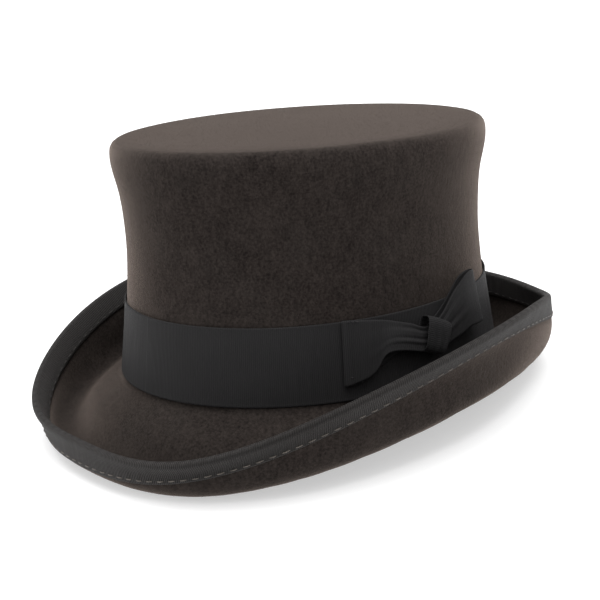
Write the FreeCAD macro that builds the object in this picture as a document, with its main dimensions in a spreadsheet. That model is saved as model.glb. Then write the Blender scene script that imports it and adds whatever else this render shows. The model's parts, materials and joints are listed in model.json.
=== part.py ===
"""A low-crowned felt top hat with a grosgrain band and bow, a bound and rolled brim, a lining and a sweatband.

Everything is drawn in the crown's own frame: Z runs up the crown's axis, the front of the hat faces -Y, the
wearer's left is +X, and Z = 0 is the break, where the wall turns out into the brim. The hat stands on the dips
at the front and the back of its brim, which leans the crown back, so each piece's Placement then turns the
crown back by its rake and lifts it until the brim rests on Z = 0.
"""

import FreeCAD, Part
import math
import os
import Sketcher

Vector = FreeCAD.Vector

# alias, millimetres or degrees, meaning
DIMENSIONS = (
    ("crown_half_length", 105.6, "felt at the break, centre to front"),
    ("crown_half_width", 91.2, "felt at the break, centre to side"),
    ("crown_height", 123.6, "break to tip"),
    ("waist_depth", 6.6, "how far the wall draws in above the band"),
    ("waist_skew", 1.15, "above 1 the waist sits higher than mid wall"),
    ("tip_radius", 4.0, "round at the tip's edge"),
    ("crown_rake", 3.9, "degrees that the crown leans back on its brim"),
    ("felt_thickness", 2.3, "wool felt"),
    ("break_radius", 1.6, "round between wall and brim"),
    ("layer_gap", 0.2, "air between one layer and the next"),
    ("ribbon_thickness", 0.8, "grosgrain"),
    ("band_bottom", 1.0, "lower edge of the band above the break"),
    ("band_width", 38.0, "grosgrain hat band"),
    ("binding_width", 11.0, "binding on each face of the brim"),
    ("stitch_inset", 9.4, "stitches from the brim's edge"),
    ("stitch_length", 4.2, "thread on top between two holes"),
    ("stitch_pitch", 6.3, "one stitch to the next"),
    ("thread_size", 0.6, "sewing thread"),
    ("knot_length", 13.0, "bow's knot along the band"),
    ("knot_width", 17.0, "bow's knot up the crown"),
    ("knot_depth", 6.4, "bow's knot out from the band"),
    ("knot_height", 26.5, "knot's centre above the break"),
    ("knot_offset", 2.5, "knot's centre behind the hat's middle"),
    ("wall_lean", 7.0, "degrees that the wall leans in behind the band and the sweatband"),
    ("lining_gap", 0.5, "slack between the felt and its lining"),
    ("lining_thickness", 0.4, "satin"),
    ("lining_bottom", 26.0, "lower edge, behind the sweatband"),
    ("lining_cord_radius", 0.9, "piping where side meets tip"),
    ("lining_cord_drop", 1.0, "piping's middle below the lining's tip"),
    ("lining_cord_setback", 3.2, "piping's middle inside the lining's side"),
    ("lining_shoulder", 4.0, "lining's upper edge below the felt's tip"),
    ("sweatband_thickness", 1.1, "leather"),
    ("sweatband_bottom", 0.6, "lower edge above the break"),
    ("sweatband_width", 34.0, "leather sweatband"),
    ("reed_radius", 1.0, "reed along the sweatband's lower edge"),
    ("tab_width", 16.0, "size tab along the sweatband"),
    ("tab_height", 11.0, "size tab up the sweatband"),
    ("seam_tape_width", 9.0, "tape over the sweatband's back seam"),
    ("seam_tape_height", 29.0, "tape over the sweatband's back seam"),
    ("small_bow_length", 22.0, "bow on the sweatband's back seam"),
    ("small_bow_width", 9.0, "bow on the sweatband's back seam"),
    ("small_bow_waist", 2.7, "small bow where it is tied"),
    ("small_bow_height", 23.8, "small bow's centre above the break"),
)

# The brim at every 30 degrees from the front to the back, alike on both sides of the hat: its edge above the
# break, the upper face of its trough above the break, how far its edge stands out from the wall, and the
# share of that overhang by which the roll draws in on its way up to the edge.
EDGE_HEIGHTS = (-13.1, -8.9, 14.7, 32.1, 31.8, 19.9, 18.8)
TROUGH_HEIGHTS = (-29.6, -27.5, -10.8, 2.8, 0.4, -8.5, -11.9)
OVERHANGS = (38.4, 45.8, 43.5, 36.5, 28.9, 27.3, 26.0)
ROLL_LEANS = (0.0, 0.08, 0.12, 0.22, 0.09, -0.11, 0.01)
# Places down the brim from the break, as shares of the overhang and of the trough's depth.
SLOPE_PLACE = (0.35, 0.45)
TROUGH_PLACE = (0.73, 1.0)
# The roll from the trough up to the edge: share of the overhang, share of the rise, share of the lean.
ROLL = ((0.87, 0.12, 0.6), (0.95, 0.3, 1.0), (0.98, 0.72, 0.8), (1.0, 1.0, 0.0))

# Places down the wall, as shares of its height, and round the tip's edge, in degrees.
WALL_SHARES = (1.0, 0.83, 0.66, 0.49, 0.32, 0.18, 0.08)
TIP_TURNS = (90, 60, 30)
BREAK_SHARES = (0.0, 0.5, 1.0)

RING_POINTS = 48
BINDING_STEPS = (1.0, 0.75, 0.5, 0.25, 0.0)
EDGE_TURNS = (45, 0, -45)

doc = FreeCAD.newDocument("TopHat")


# ---------------------------------------------------------------- sizes


def make_sheet():
    """Write the driving dimensions into the document's sheet."""
    sheet = doc.addObject("Spreadsheet::Sheet", "Sizes")
    for row, (alias, value, meaning) in enumerate(DIMENSIONS, start=1):
        sheet.set(f"A{row}", alias)
        sheet.set(f"B{row}", str(value))
        sheet.set(f"C{row}", meaning)
        sheet.setAlias(f"B{row}", alias)
    doc.recompute()
    return sheet


sheet = make_sheet()


def size(alias):
    """A driving dimension as a plain number."""
    return float(sheet.get(alias))


def add_size(alias, value, meaning):
    """Add a dimension worked out from the others."""
    row = 1
    while sheet.getContents(f"A{row}"):
        row += 1
    sheet.set(f"A{row}", alias)
    sheet.set(f"B{row}", str(round(value, 4)))
    sheet.set(f"C{row}", meaning)
    sheet.setAlias(f"B{row}", alias)
    doc.recompute()


# ---------------------------------------------------------------- the hat's lines


def wall_inset(height):
    """How far the crown's wall stands inside the break's oval at a height."""
    share = max(height, 0.0) / size("crown_height")
    return size("waist_depth") * math.sin(math.pi * share ** size("waist_skew"))


def around(angle, offset, height):
    """The point at an angle from the front, an offset out from the break's oval and a height."""
    half_width = size("crown_half_width") + offset
    half_length = size("crown_half_length") + offset
    return Vector(half_width * math.sin(angle), -half_length * math.cos(angle), height)


def brim_line(values):
    """A smooth curve through values given every 30 degrees, flat at the front and the back."""
    line = Part.BSplineCurve()
    line.interpolate(
        Points=[Vector(index, value, 0) for index, value in enumerate(values)],
        Parameters=list(range(len(values))),
        InitialTangent=Vector(1, 0, 0),
        FinalTangent=Vector(1, 0, 0),
    )
    return line


def value_at(line, angle):
    """The value of a brim line at an angle from the front."""
    turn = abs(math.remainder(angle, 2 * math.pi))
    return line.value(math.degrees(turn) / 30).y


EDGE_LINE = brim_line(EDGE_HEIGHTS)
TROUGH_LINE = brim_line(TROUGH_HEIGHTS)
OVERHANG_LINE = brim_line(OVERHANGS)
LEAN_LINE = brim_line(ROLL_LEANS)


def felt_profile(angle):
    """Points down the felt's outer face at an angle, as (offset, height): tip edge, wall, break, brim, roll."""
    tip = size("crown_height")
    tip_radius = size("tip_radius")
    shoulder = tip - tip_radius
    centre = -wall_inset(shoulder) - tip_radius
    points = []
    for turn in TIP_TURNS:
        slope = math.radians(turn)
        points.append((centre + tip_radius * math.cos(slope), shoulder + tip_radius * math.sin(slope)))
    for share in WALL_SHARES:
        height = share * shoulder
        points.append((-wall_inset(height), height))
    overhang = value_at(OVERHANG_LINE, angle)
    trough = value_at(TROUGH_LINE, angle)
    rise = value_at(EDGE_LINE, angle) - trough
    lean = value_at(LEAN_LINE, angle)
    slope_end = (SLOPE_PLACE[0] * overhang, SLOPE_PLACE[1] * trough)
    slope = math.atan2(slope_end[1], slope_end[0])
    radius = size("break_radius")
    for share in BREAK_SHARES:
        above = radius * (1 - share) ** 2
        along = radius * share**2
        points.append((along * math.cos(slope), above + along * math.sin(slope)))
    points.append(slope_end)
    points.append((TROUGH_PLACE[0] * overhang, TROUGH_PLACE[1] * trough))
    for out, up, drawn_in in ROLL:
        points.append(((out - drawn_in * lean) * overhang, trough + up * rise))
    return points


def profile_curve(angle):
    """The felt's outer face at an angle, as a curve in the plane of (offset, height)."""
    curve = Part.BSplineCurve()
    curve.interpolate(Points=[Vector(out, up, 0) for out, up in felt_profile(angle)])
    return curve


def lines_at(curve, where):
    """The point, the direction along the profile and the outward direction at a place on it."""
    point = curve.value(where)
    along = curve.tangent(where)[0]
    return point, along, Vector(-along.y, along.x, 0)


# ---------------------------------------------------------------- skins


def ring_angles():
    """The angles at which every ring has a point."""
    return [2 * math.pi * index / RING_POINTS for index in range(RING_POINTS)]


def closed_ring(points):
    """A smooth closed curve through points evenly spread round the hat."""
    ring = Part.BSplineCurve()
    ring.interpolate(
        Points=points, PeriodicFlag=True, Parameters=[index / RING_POINTS for index in range(RING_POINTS + 1)]
    )
    return ring


def skin(rings):
    """A smooth face through closed rings laid one after another."""
    steps = [0.0]
    for last, following in zip(rings, rings[1:]):
        gap = sum(last.getPole(n).distanceToPoint(following.getPole(n)) for n in range(1, last.NbPoles + 1))
        steps.append(steps[-1] + gap)
    places = [step / steps[-1] for step in steps]
    columns = []
    for number in range(1, rings[0].NbPoles + 1):
        column = Part.BSplineCurve()
        column.interpolate(Points=[ring.getPole(number) for ring in rings], Parameters=places)
        columns.append(column)
    surface = Part.BSplineSurface()
    surface.buildFromPolesMultsKnots(
        [column.getPoles() for column in columns],
        rings[0].getMultiplicities(),
        columns[0].getMultiplicities(),
        rings[0].getKnots(),
        columns[0].getKnots(),
        True,
        False,
        3,
        3,
    )
    return surface.toShape()


def closed_solid(faces):
    """One solid from faces that meet edge to edge."""
    shell = Part.makeShell(faces)
    shell.sewShape()
    solid = Part.makeSolid(Part.Shell(shell.Faces))
    if solid.Volume < 0:
        solid.reverse()
    return solid


def rings_from(rows):
    """Closed rings from one row of points per angle."""
    return [closed_ring(list(points)) for points in zip(*rows)]


# ---------------------------------------------------------------- document helpers


def stand_placement():
    """Where the crown's frame stands when the brim rests on the ground."""
    turn = FreeCAD.Rotation(Vector(-1, 0, 0), size("crown_rake"))
    return FreeCAD.Placement(Vector(0, size("stand_shift"), size("stand_lift")), turn)


def bind_placement(item):
    """Stand a sub-part on the brim, with its Placement bound to the sheet."""
    item.Placement = stand_placement()
    item.setExpression("Placement.Base.y", "Sizes.stand_shift")
    item.setExpression("Placement.Base.z", "Sizes.stand_lift")
    item.setExpression("Placement.Rotation.Angle", "Sizes.crown_rake")


def shaped_part(label, shape):
    """A sub-part whose shape is worked out here."""
    part = doc.addObject("Part::Feature", label)
    part.Label = label
    part.Shape = shape
    bind_placement(part)
    return part


def new_body(label):
    """An empty body for a sub-part, standing on the brim."""
    body = doc.addObject("PartDesign::Body", label)
    body.Label = label
    bind_placement(body)
    return body


def new_sketch(body, name, role):
    """A sketch on one of a body's own planes."""
    sketch = body.newObject("Sketcher::SketchObject", name)
    plane = next(feature for feature in body.Origin.OriginFeatures if feature.Role == role)
    sketch.AttachmentSupport = [(plane, "")]
    sketch.MapMode = "FlatFace"
    return sketch


def bound_constraint(sketch, name, constraint, expression):
    """Add a dimension to a sketch and bind it to the sheet."""
    index = sketch.addConstraint(constraint)
    sketch.renameConstraint(index, name)
    sketch.setExpression(f"Constraints.{name}", expression)


def oval_sketch(body, name, height, inset):
    """A level oval at a height and an inset from the break's oval, both given as expressions."""
    sketch = new_sketch(body, name, "XY_Plane")
    half_length = size("crown_half_length")
    half_width = size("crown_half_width")
    oval = sketch.addGeometry(Part.Ellipse(Vector(0, half_length, 0), Vector(half_width, 0, 0), Vector(0, 0, 0)), False)
    sketch.exposeInternalGeometry(oval)
    long_axis = oval + 1
    short_axis = oval + 2
    sketch.addConstraint(Sketcher.Constraint("Coincident", oval, 3, -1, 1))
    sketch.addConstraint(Sketcher.Constraint("PointOnObject", long_axis, 1, -2))
    bound_constraint(
        sketch,
        "length",
        Sketcher.Constraint("Distance", long_axis, 2 * half_length),
        f"2 * (Sizes.crown_half_length - ({inset}))",
    )
    bound_constraint(
        sketch,
        "width",
        Sketcher.Constraint("Distance", short_axis, 2 * half_width),
        f"2 * (Sizes.crown_half_width - ({inset}))",
    )
    sketch.setExpression("AttachmentOffset.Base.z", height)
    return sketch


def wall_expression(height):
    """The wall's inset at a height, as an expression for the sheet."""
    share = f"pow(({height}) / Sizes.crown_height; Sizes.waist_skew)"
    return f"Sizes.waist_depth * sin(180deg * {share})"


def wall_ring(label, bottom, rise, inset, thickness, sections):
    """A strip that lies against the wall all round, between two lofts through level ovals.

    bottom, rise, inset and thickness are expressions; inset is from the felt's outer face inwards, and
    sections is how many ovals each loft has.
    """
    body = new_body(label)
    for side, kind, extra in (
        ("outer", "PartDesign::AdditiveLoft", "0"),
        ("inner", "PartDesign::SubtractiveLoft", thickness),
    ):
        ovals = []
        for index in range(sections):
            height = f"{bottom} + {rise} * {index / (sections - 1)}"
            depth = f"{inset} + {extra} + {wall_expression(height)}"
            ovals.append(oval_sketch(body, f"{label}_{side}_{index}", height, depth))
        loft = body.newObject(kind, f"{label}_{side}_loft")
        loft.Profile = ovals[0]
        loft.Sections = ovals[1:]
        body.Tip = loft
    return body


def wall_cord(label, height, inset, radius):
    """A round cord that lies level all the way round the wall; all sizes are expressions."""
    body = new_body(label)
    path = oval_sketch(body, f"{label}_path", height, inset)
    section = new_sketch(body, f"{label}_section", "XZ_Plane")
    circle = section.addGeometry(Part.Circle(Vector(0, 0, 0), Vector(0, 0, 1), size(radius)), False)
    bound_constraint(
        section, "radius", Sketcher.Constraint("Radius", circle, size(radius)), f"Sizes.{radius}"
    )
    section.addConstraint(Sketcher.Constraint("Coincident", circle, 3, -1, 1))
    section.setExpression("AttachmentOffset.Base.x", f"Sizes.crown_half_width - ({inset})")
    section.setExpression("AttachmentOffset.Base.y", height)
    pipe = body.newObject("PartDesign::AdditivePipe", f"{label}_pipe")
    pipe.Profile = section
    pipe.Spine = (path, ["Edge1"])
    body.Tip = pipe
    return body


def rounded_rectangle(sketch, name, width, height, radius):
    """A rectangle with round corners about the sketch's centre; width and height are expressions."""
    half = 5.0
    ends = (
        (Vector(-half + radius, -half, 0), Vector(half - radius, -half, 0)),
        (Vector(half, -half + radius, 0), Vector(half, half - radius, 0)),
        (Vector(half - radius, half, 0), Vector(-half + radius, half, 0)),
        (Vector(-half, half - radius, 0), Vector(-half, -half + radius, 0)),
    )
    sides = [sketch.addGeometry(Part.LineSegment(start, end), False) for start, end in ends]
    corners = []
    for index, (_, end) in enumerate(ends):
        following = ends[(index + 1) % 4][0]
        centre = Vector(
            math.copysign(half - radius, end.x + following.x), math.copysign(half - radius, end.y + following.y), 0
        )
        start_angle = math.radians(90 * index - 90)
        circle = Part.Circle(centre, Vector(0, 0, 1), radius)
        corners.append(
            sketch.addGeometry(Part.ArcOfCircle(circle, start_angle, start_angle + math.pi / 2), False)
        )
    for index in range(4):
        sketch.addConstraint(Sketcher.Constraint("Tangent", sides[index], 2, corners[index], 1))
        sketch.addConstraint(Sketcher.Constraint("Tangent", corners[index], 2, sides[(index + 1) % 4], 1))
    sketch.addConstraint(Sketcher.Constraint("Horizontal", sides[0]))
    sketch.addConstraint(Sketcher.Constraint("Vertical", sides[1]))
    sketch.addConstraint(Sketcher.Constraint("Horizontal", sides[2]))
    sketch.addConstraint(Sketcher.Constraint("Vertical", sides[3]))
    for corner in corners[1:]:
        sketch.addConstraint(Sketcher.Constraint("Equal", corners[0], corner))
    sketch.addConstraint(Sketcher.Constraint("Radius", corners[0], radius))
    sketch.addConstraint(Sketcher.Constraint("Symmetric", sides[0], 1, sides[2], 1, -1, 1))
    bound_constraint(
        sketch,
        f"{name}_width",
        Sketcher.Constraint("DistanceX", sides[2], 2, sides[0], 2, 2 * half - 2 * radius),
        f"({width}) - {2 * radius}",
    )
    bound_constraint(
        sketch,
        f"{name}_height",
        Sketcher.Constraint("DistanceY", sides[1], 1, sides[1], 2, 2 * half - 2 * radius),
        f"({height}) - {2 * radius}",
    )


def pad(body, sketch, length):
    """Pad a sketch evenly to both sides; the length is an expression."""
    feature = body.newObject("PartDesign::Pad", f"{sketch.Name}_pad")
    feature.Profile = sketch
    feature.SideType = "Symmetric"
    feature.setExpression("Length", length)
    body.Tip = feature
    return feature


def stitch(point, along, outward, length):
    """One run of thread lying on a face, centred on a point."""
    thread = size("thread_size")
    across = outward.cross(along)
    box = Part.makeBox(length, thread, thread, Vector(-length / 2, -thread / 2, -thread / 2))
    axes = FreeCAD.Matrix(
        along.x, across.x, outward.x, point.x,
        along.y, across.y, outward.y, point.y,
        along.z, across.z, outward.z, point.z,
        0, 0, 0, 1,
    )
    return box.transformed(axes)


# ---------------------------------------------------------------- felt and ribbon


def felt_rows():
    """The felt's outer and inner points at every angle."""
    outer = []
    inner = []
    for angle in ring_angles():
        curve = profile_curve(angle)
        outer_row = []
        inner_row = []
        places = [curve.parameter(Vector(out, up, 0)) for out, up in felt_profile(angle)]
        for index, where in enumerate(places):
            point, _, outward = lines_at(curve, where)
            if index == 0:
                outward = Vector(0, 1, 0)
            under = point - outward * size("felt_thickness")
            outer_row.append(around(angle, point.x, point.y))
            inner_row.append(around(angle, under.x, under.y))
        outer.append(outer_row)
        inner.append(inner_row)
    return outer, inner


def felt_body():
    """The blocked felt hood: tip, crown and brim in one piece."""
    outer_rows, inner_rows = felt_rows()
    outer = rings_from(outer_rows)
    inner = rings_from(inner_rows)
    faces = [
        skin(outer),
        skin(inner),
        Part.makeRuledSurface(outer[-1].toShape(), inner[-1].toShape()),
        Part.Face(Part.Wire([outer[0].toShape()])),
        Part.Face(Part.Wire([inner[0].toShape()])),
    ]
    return shaped_part("felt_body", closed_solid(faces))


def binding_profile(angle):
    """The binding's inner and outer points at an angle: down the upper face, round the edge, up the under face."""
    curve = profile_curve(angle)
    gap = size("layer_gap")
    felt = size("felt_thickness")
    ribbon = size("ribbon_thickness")
    inner = []
    outer = []
    stations = []
    for share in BINDING_STEPS:
        if share:
            where = curve.parameterAtDistance(-share * size("binding_width"), curve.LastParameter)
        else:
            where = curve.LastParameter
        stations.append(lines_at(curve, where))
    for point, _, outward in stations:
        inner.append(point + outward * gap)
        outer.append(point + outward * (gap + ribbon))
    edge, along, outward = stations[-1]
    middle = edge - outward * (felt / 2)
    for turn in EDGE_TURNS:
        slope = math.radians(turn)
        direction = along * math.cos(slope) + outward * math.sin(slope)
        inner.append(middle + direction * (felt / 2 + gap))
        outer.append(middle + direction * (felt / 2 + gap + ribbon))
    for point, _, outward in reversed(stations):
        inner.append(point - outward * (felt + gap))
        outer.append(point - outward * (felt + gap + ribbon))
    return inner, outer


def brim_binding():
    """The grosgrain ribbon folded over the brim's edge all the way round."""
    inner_rows = []
    outer_rows = []
    for angle in ring_angles():
        inner, outer = binding_profile(angle)
        inner_rows.append([around(angle, point.x, point.y) for point in inner])
        outer_rows.append([around(angle, point.x, point.y) for point in outer])
    inner = rings_from(inner_rows)
    outer = rings_from(outer_rows)
    faces = [skin(inner), skin(outer)]
    for end in (0, -1):
        faces.append(Part.makeRuledSurface(inner[end].toShape(), outer[end].toShape()))
    return shaped_part("brim_binding", closed_solid(faces))


def stitch_place(angle, upper):
    """Where the row of stitches lies at an angle: a point just clear of the binding and its outward direction."""
    curve = profile_curve(angle)
    where = curve.parameterAtDistance(-size("stitch_inset"), curve.LastParameter)
    point, _, outward = lines_at(curve, where)
    cover = size("layer_gap") + size("ribbon_thickness") + size("thread_size")
    if not upper:
        outward = -outward
        cover += size("felt_thickness")
    place = point + outward * cover
    return around(angle, place.x, place.y), outward


def binding_stitches():
    """The lockstitches that hold the binding, on both faces of the brim."""
    middle_radius = (size("crown_half_length") + size("crown_half_width")) / 2 + sum(OVERHANGS) / len(OVERHANGS)
    count = round(2 * math.pi * middle_radius / size("stitch_pitch"))
    step = 2 * math.pi / count
    stitches = []
    for upper in (False, True):
        for index in range(count):
            angle = index * step
            point, section = stitch_place(angle, upper)
            ahead, _ = stitch_place(angle + step / 10, upper)
            behind, _ = stitch_place(angle - step / 10, upper)
            along = (ahead - behind).normalize()
            radial = around(angle, 1000, 0).normalize()
            outward = radial * section.x + Vector(0, 0, section.y)
            outward = (outward - along * outward.dot(along)).normalize()
            stitches.append(stitch(point, along, outward, size("stitch_length")))
    return shaped_part("binding_stitches", Part.makeCompound(stitches))


def hat_band():
    """The grosgrain band round the foot of the crown."""
    return wall_ring(
        "hat_band",
        "Sizes.band_bottom",
        "Sizes.band_width",
        "0 - Sizes.layer_gap - Sizes.ribbon_thickness",
        "Sizes.ribbon_thickness",
        5,
    )


# ---------------------------------------------------------------- bow

# A wing's sections: degrees from the front, lower edge, upper edge, stand-off from the band, thickness.
FRONT_WING = ((64, 9.5, 43.0, 0.3, 4.4), (70, 12.0, 41.5, 0.3, 4.4), (78, 18.0, 38.5, 0.6, 4.0))
REAR_WING = ((102, 22.0, 45.0, 1.5, 4.6), (107, 23.0, 49.5, 2.6, 5.0), (112, 23.0, 50.0, 3.6, 5.2))
WAIST = ((85, 20.5, 32.5, 1.3, 2.6), (97, 20.5, 32.5, 1.3, 2.6))
# The tacks in the front wing's end: share of the way to the next section, and shares of the way up it.
TACK_BACK = 0.2
TACK_HEIGHTS = (0.16, 0.78, 0.86)
TACK_LENGTH = 1.6
# The rounds at the corners of the knot, outside and inside.
KNOT_CORNER = 1.6
KNOT_INNER_CORNER = 0.8


def wing_corners(degrees, low, high, stand_off, thickness):
    """The corners of the bow's ribbon across an angle: back low, back high, face high, face low."""
    angle = math.radians(degrees)
    cover = size("layer_gap") + size("ribbon_thickness") + stand_off
    corners = []
    for height, depth in ((low, 0.0), (high, 0.0), (high, thickness), (low, thickness)):
        corners.append(around(angle, cover + depth - wall_inset(height), height))
    return corners


def bow_loops():
    """The bow's ribbon: a front wing, the waist inside the knot and a rear wing that stands off the crown."""
    sections = []
    for values in (*FRONT_WING, *WAIST, *REAR_WING):
        corners = wing_corners(*values)
        sections.append(Part.makePolygon([*corners, corners[0]]))
    return shaped_part("bow_loops", Part.makeLoft(sections, True, False))


def bow_knot():
    """The short ribbon wrapped round the bow's waist."""
    body = new_body("bow_knot")
    outline = new_sketch(body, "bow_knot_outline", "XZ_Plane")
    rounded_rectangle(outline, "outer", "Sizes.knot_depth", "Sizes.knot_width", KNOT_CORNER)
    rounded_rectangle(
        outline,
        "inner",
        "Sizes.knot_depth - 2 * Sizes.ribbon_thickness",
        "Sizes.knot_width - 2 * Sizes.ribbon_thickness",
        KNOT_INNER_CORNER,
    )
    reach = "Sizes.layer_gap * 2 + Sizes.ribbon_thickness + Sizes.knot_depth / 2"
    wall = wall_expression("Sizes.knot_height")
    outline.setExpression("AttachmentOffset.Base.x", f"Sizes.crown_half_width + {reach} - {wall}")
    outline.setExpression("AttachmentOffset.Base.y", "Sizes.knot_height")
    outline.setExpression("AttachmentOffset.Base.z", "-Sizes.knot_offset")
    outline.setExpression("AttachmentOffset.Rotation.Angle", "Sizes.wall_lean")
    pad(body, outline, "Sizes.knot_length")
    return body


def wing_tacks():
    """The tacks that hold the front wing's end to the band."""
    _, _, end_high, end_low = wing_corners(*FRONT_WING[0])
    _, _, next_high, next_low = wing_corners(*FRONT_WING[1])
    low = end_low + (next_low - end_low) * TACK_BACK
    high = end_high + (next_high - end_high) * TACK_BACK
    along = (next_low - end_low).normalize()
    along.z = 0
    outward = along.normalize().cross(high - low).normalize()
    cover = size("thread_size") / 2 + 5 * size("layer_gap")
    tacks = []
    for share in TACK_HEIGHTS:
        tacks.append(stitch(low + (high - low) * share + outward * cover, along, outward, TACK_LENGTH))
    return shaped_part("bow_tacks", Part.makeCompound(tacks))


# ---------------------------------------------------------------- inside the crown

# The rounds at the corners of the seam tape and the size tab.
STRIP_CORNER = 1.5


def lining_side():
    """The satin lining on the wall."""
    return wall_ring(
        "lining_side",
        "Sizes.lining_bottom",
        "(Sizes.crown_height - Sizes.felt_thickness - Sizes.lining_bottom - Sizes.lining_shoulder)",
        "Sizes.felt_thickness + Sizes.lining_gap",
        "Sizes.lining_thickness",
        6,
    )


def lining_tip():
    """The oval of satin under the tip."""
    body = new_body("lining_tip")
    height = "Sizes.crown_height - Sizes.felt_thickness - Sizes.layer_gap - Sizes.lining_thickness / 2"
    outline = oval_sketch(body, "lining_tip_outline", height, "Sizes.tip_radius + 1")
    pad(body, outline, "Sizes.lining_thickness")
    return body


def lining_cord():
    """The piping where the side of the lining meets its tip."""
    layers = "Sizes.felt_thickness + 2 * Sizes.layer_gap + Sizes.lining_thickness + Sizes.lining_cord_drop"
    height = f"Sizes.crown_height - ({layers})"
    inset = "Sizes.felt_thickness + Sizes.lining_thickness + Sizes.lining_cord_setback"
    return wall_cord("lining_cord", height, inset, "lining_cord_radius")


def sweatband():
    """The leather band that sits against the head."""
    return wall_ring(
        "sweatband",
        "Sizes.sweatband_bottom",
        "Sizes.sweatband_width",
        "Sizes.felt_thickness + Sizes.lining_gap + Sizes.lining_thickness + Sizes.layer_gap",
        "Sizes.sweatband_thickness",
        5,
    )


def sweatband_reed():
    """The thin reed sewn along the sweatband's lower edge."""
    height = "Sizes.sweatband_bottom - Sizes.layer_gap - Sizes.reed_radius"
    inset = "Sizes.felt_thickness + Sizes.layer_gap + Sizes.reed_radius"
    return wall_cord("sweatband_reed", height, inset, "reed_radius")


def sweatband_inset():
    """The sweatband's inner face from the felt's outer face."""
    layers = size("felt_thickness") + size("lining_thickness") + size("sweatband_thickness")
    return layers + size("lining_gap") + size("layer_gap")


def sweatband_stitches():
    """The row of stitches along the foot of the sweatband."""
    height = size("sweatband_bottom") + 2.4
    inset = sweatband_inset() + wall_inset(height) + size("layer_gap") + size("thread_size") / 2
    pitch = 1.1 * size("stitch_pitch")
    count = round(math.pi * (size("crown_half_length") + size("crown_half_width") - 2 * inset) / pitch)
    stitches = []
    for index in range(count):
        angle = 2 * math.pi * (index + 0.5) / count
        point = around(angle, -inset, height)
        ahead = around(angle + 0.001, -inset, height)
        along = (ahead - point).normalize()
        stitches.append(stitch(point, along, along.cross(Vector(0, 0, 1)), 0.8 * size("stitch_length")))
    return shaped_part("sweatband_stitches", Part.makeCompound(stitches))


def against_sweatband(outline, half_axis, height, cover):
    """Stand a sketch along the sweatband's inner face, leaning with the wall; height and cover are expressions."""
    layers = "Sizes.felt_thickness + Sizes.lining_gap + Sizes.lining_thickness + Sizes.sweatband_thickness"
    outline.AttachmentOffset = FreeCAD.Placement(
        Vector(0, 0, 0), FreeCAD.Rotation(Vector(1, 0, 0), size("wall_lean"))
    )
    outline.setExpression("AttachmentOffset.Base.y", height)
    outline.setExpression(
        "AttachmentOffset.Base.z", f"{layers} + {wall_expression(height)} + {cover} - Sizes.{half_axis}"
    )
    outline.setExpression("AttachmentOffset.Rotation.Angle", "Sizes.wall_lean")


def seam_tape():
    """The tape over the seam at the back of the sweatband."""
    body = new_body("seam_tape")
    outline = new_sketch(body, "seam_tape_outline", "XZ_Plane")
    rounded_rectangle(outline, "piece", "Sizes.seam_tape_width", "Sizes.seam_tape_height", STRIP_CORNER)
    height = "Sizes.sweatband_bottom + Sizes.sweatband_width / 2 + 1"
    against_sweatband(outline, "crown_half_length", height, "4 * Sizes.layer_gap")
    pad(body, outline, "Sizes.lining_thickness")
    return body


def small_bow():
    """The small ribbon bow tied at the back of the sweatband."""
    body = new_body("small_bow")
    outline = new_sketch(body, "small_bow_outline", "XZ_Plane")
    half_length = size("small_bow_length") / 2
    half_width = size("small_bow_width") / 2
    waist = size("small_bow_waist") / 2
    corners = [
        Vector(-half_length, -half_width, 0),
        Vector(0, -waist, 0),
        Vector(half_length, -half_width, 0),
        Vector(half_length, half_width, 0),
        Vector(0, waist, 0),
        Vector(-half_length, half_width, 0),
    ]
    lines = []
    for index, corner in enumerate(corners):
        following = corners[(index + 1) % len(corners)]
        lines.append(outline.addGeometry(Part.LineSegment(corner, following), False))
    for index, line in enumerate(lines):
        outline.addConstraint(Sketcher.Constraint("Coincident", line, 2, lines[(index + 1) % len(lines)], 1))
    for first, second in ((0, 2), (5, 3)):
        outline.addConstraint(Sketcher.Constraint("Symmetric", lines[first], 1, lines[second], 1, -2))
    outline.addConstraint(Sketcher.Constraint("PointOnObject", lines[1], 1, -2))
    outline.addConstraint(Sketcher.Constraint("Symmetric", lines[1], 1, lines[4], 1, -1))
    outline.addConstraint(Sketcher.Constraint("Symmetric", lines[0], 1, lines[5], 1, -1))
    bound_constraint(
        outline,
        "length",
        Sketcher.Constraint("DistanceX", lines[0], 1, lines[2], 1, 2 * half_length),
        "Sizes.small_bow_length",
    )
    bound_constraint(
        outline,
        "width",
        Sketcher.Constraint("DistanceY", lines[2], 1, lines[3], 1, 2 * half_width),
        "Sizes.small_bow_width",
    )
    bound_constraint(
        outline,
        "waist",
        Sketcher.Constraint("DistanceY", lines[1], 1, lines[4], 1, 2 * waist),
        "Sizes.small_bow_waist",
    )
    cover = "6 * Sizes.layer_gap + Sizes.lining_thickness + Sizes.ribbon_thickness"
    against_sweatband(outline, "crown_half_length", "Sizes.small_bow_height", cover)
    pad(body, outline, "2 * Sizes.ribbon_thickness")
    return body


def size_tab():
    """The blank size tab on the sweatband, on the wearer's right."""
    body = new_body("size_tab")
    outline = new_sketch(body, "size_tab_outline", "YZ_Plane")
    rounded_rectangle(outline, "piece", "Sizes.tab_width", "Sizes.tab_height", STRIP_CORNER)
    height = "Sizes.sweatband_bottom + Sizes.sweatband_width - Sizes.tab_height / 2 - 1"
    against_sweatband(outline, "crown_half_width", height, "4 * Sizes.layer_gap")
    pad(body, outline, "Sizes.lining_thickness")
    return body


# ---------------------------------------------------------------- the hat


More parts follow.
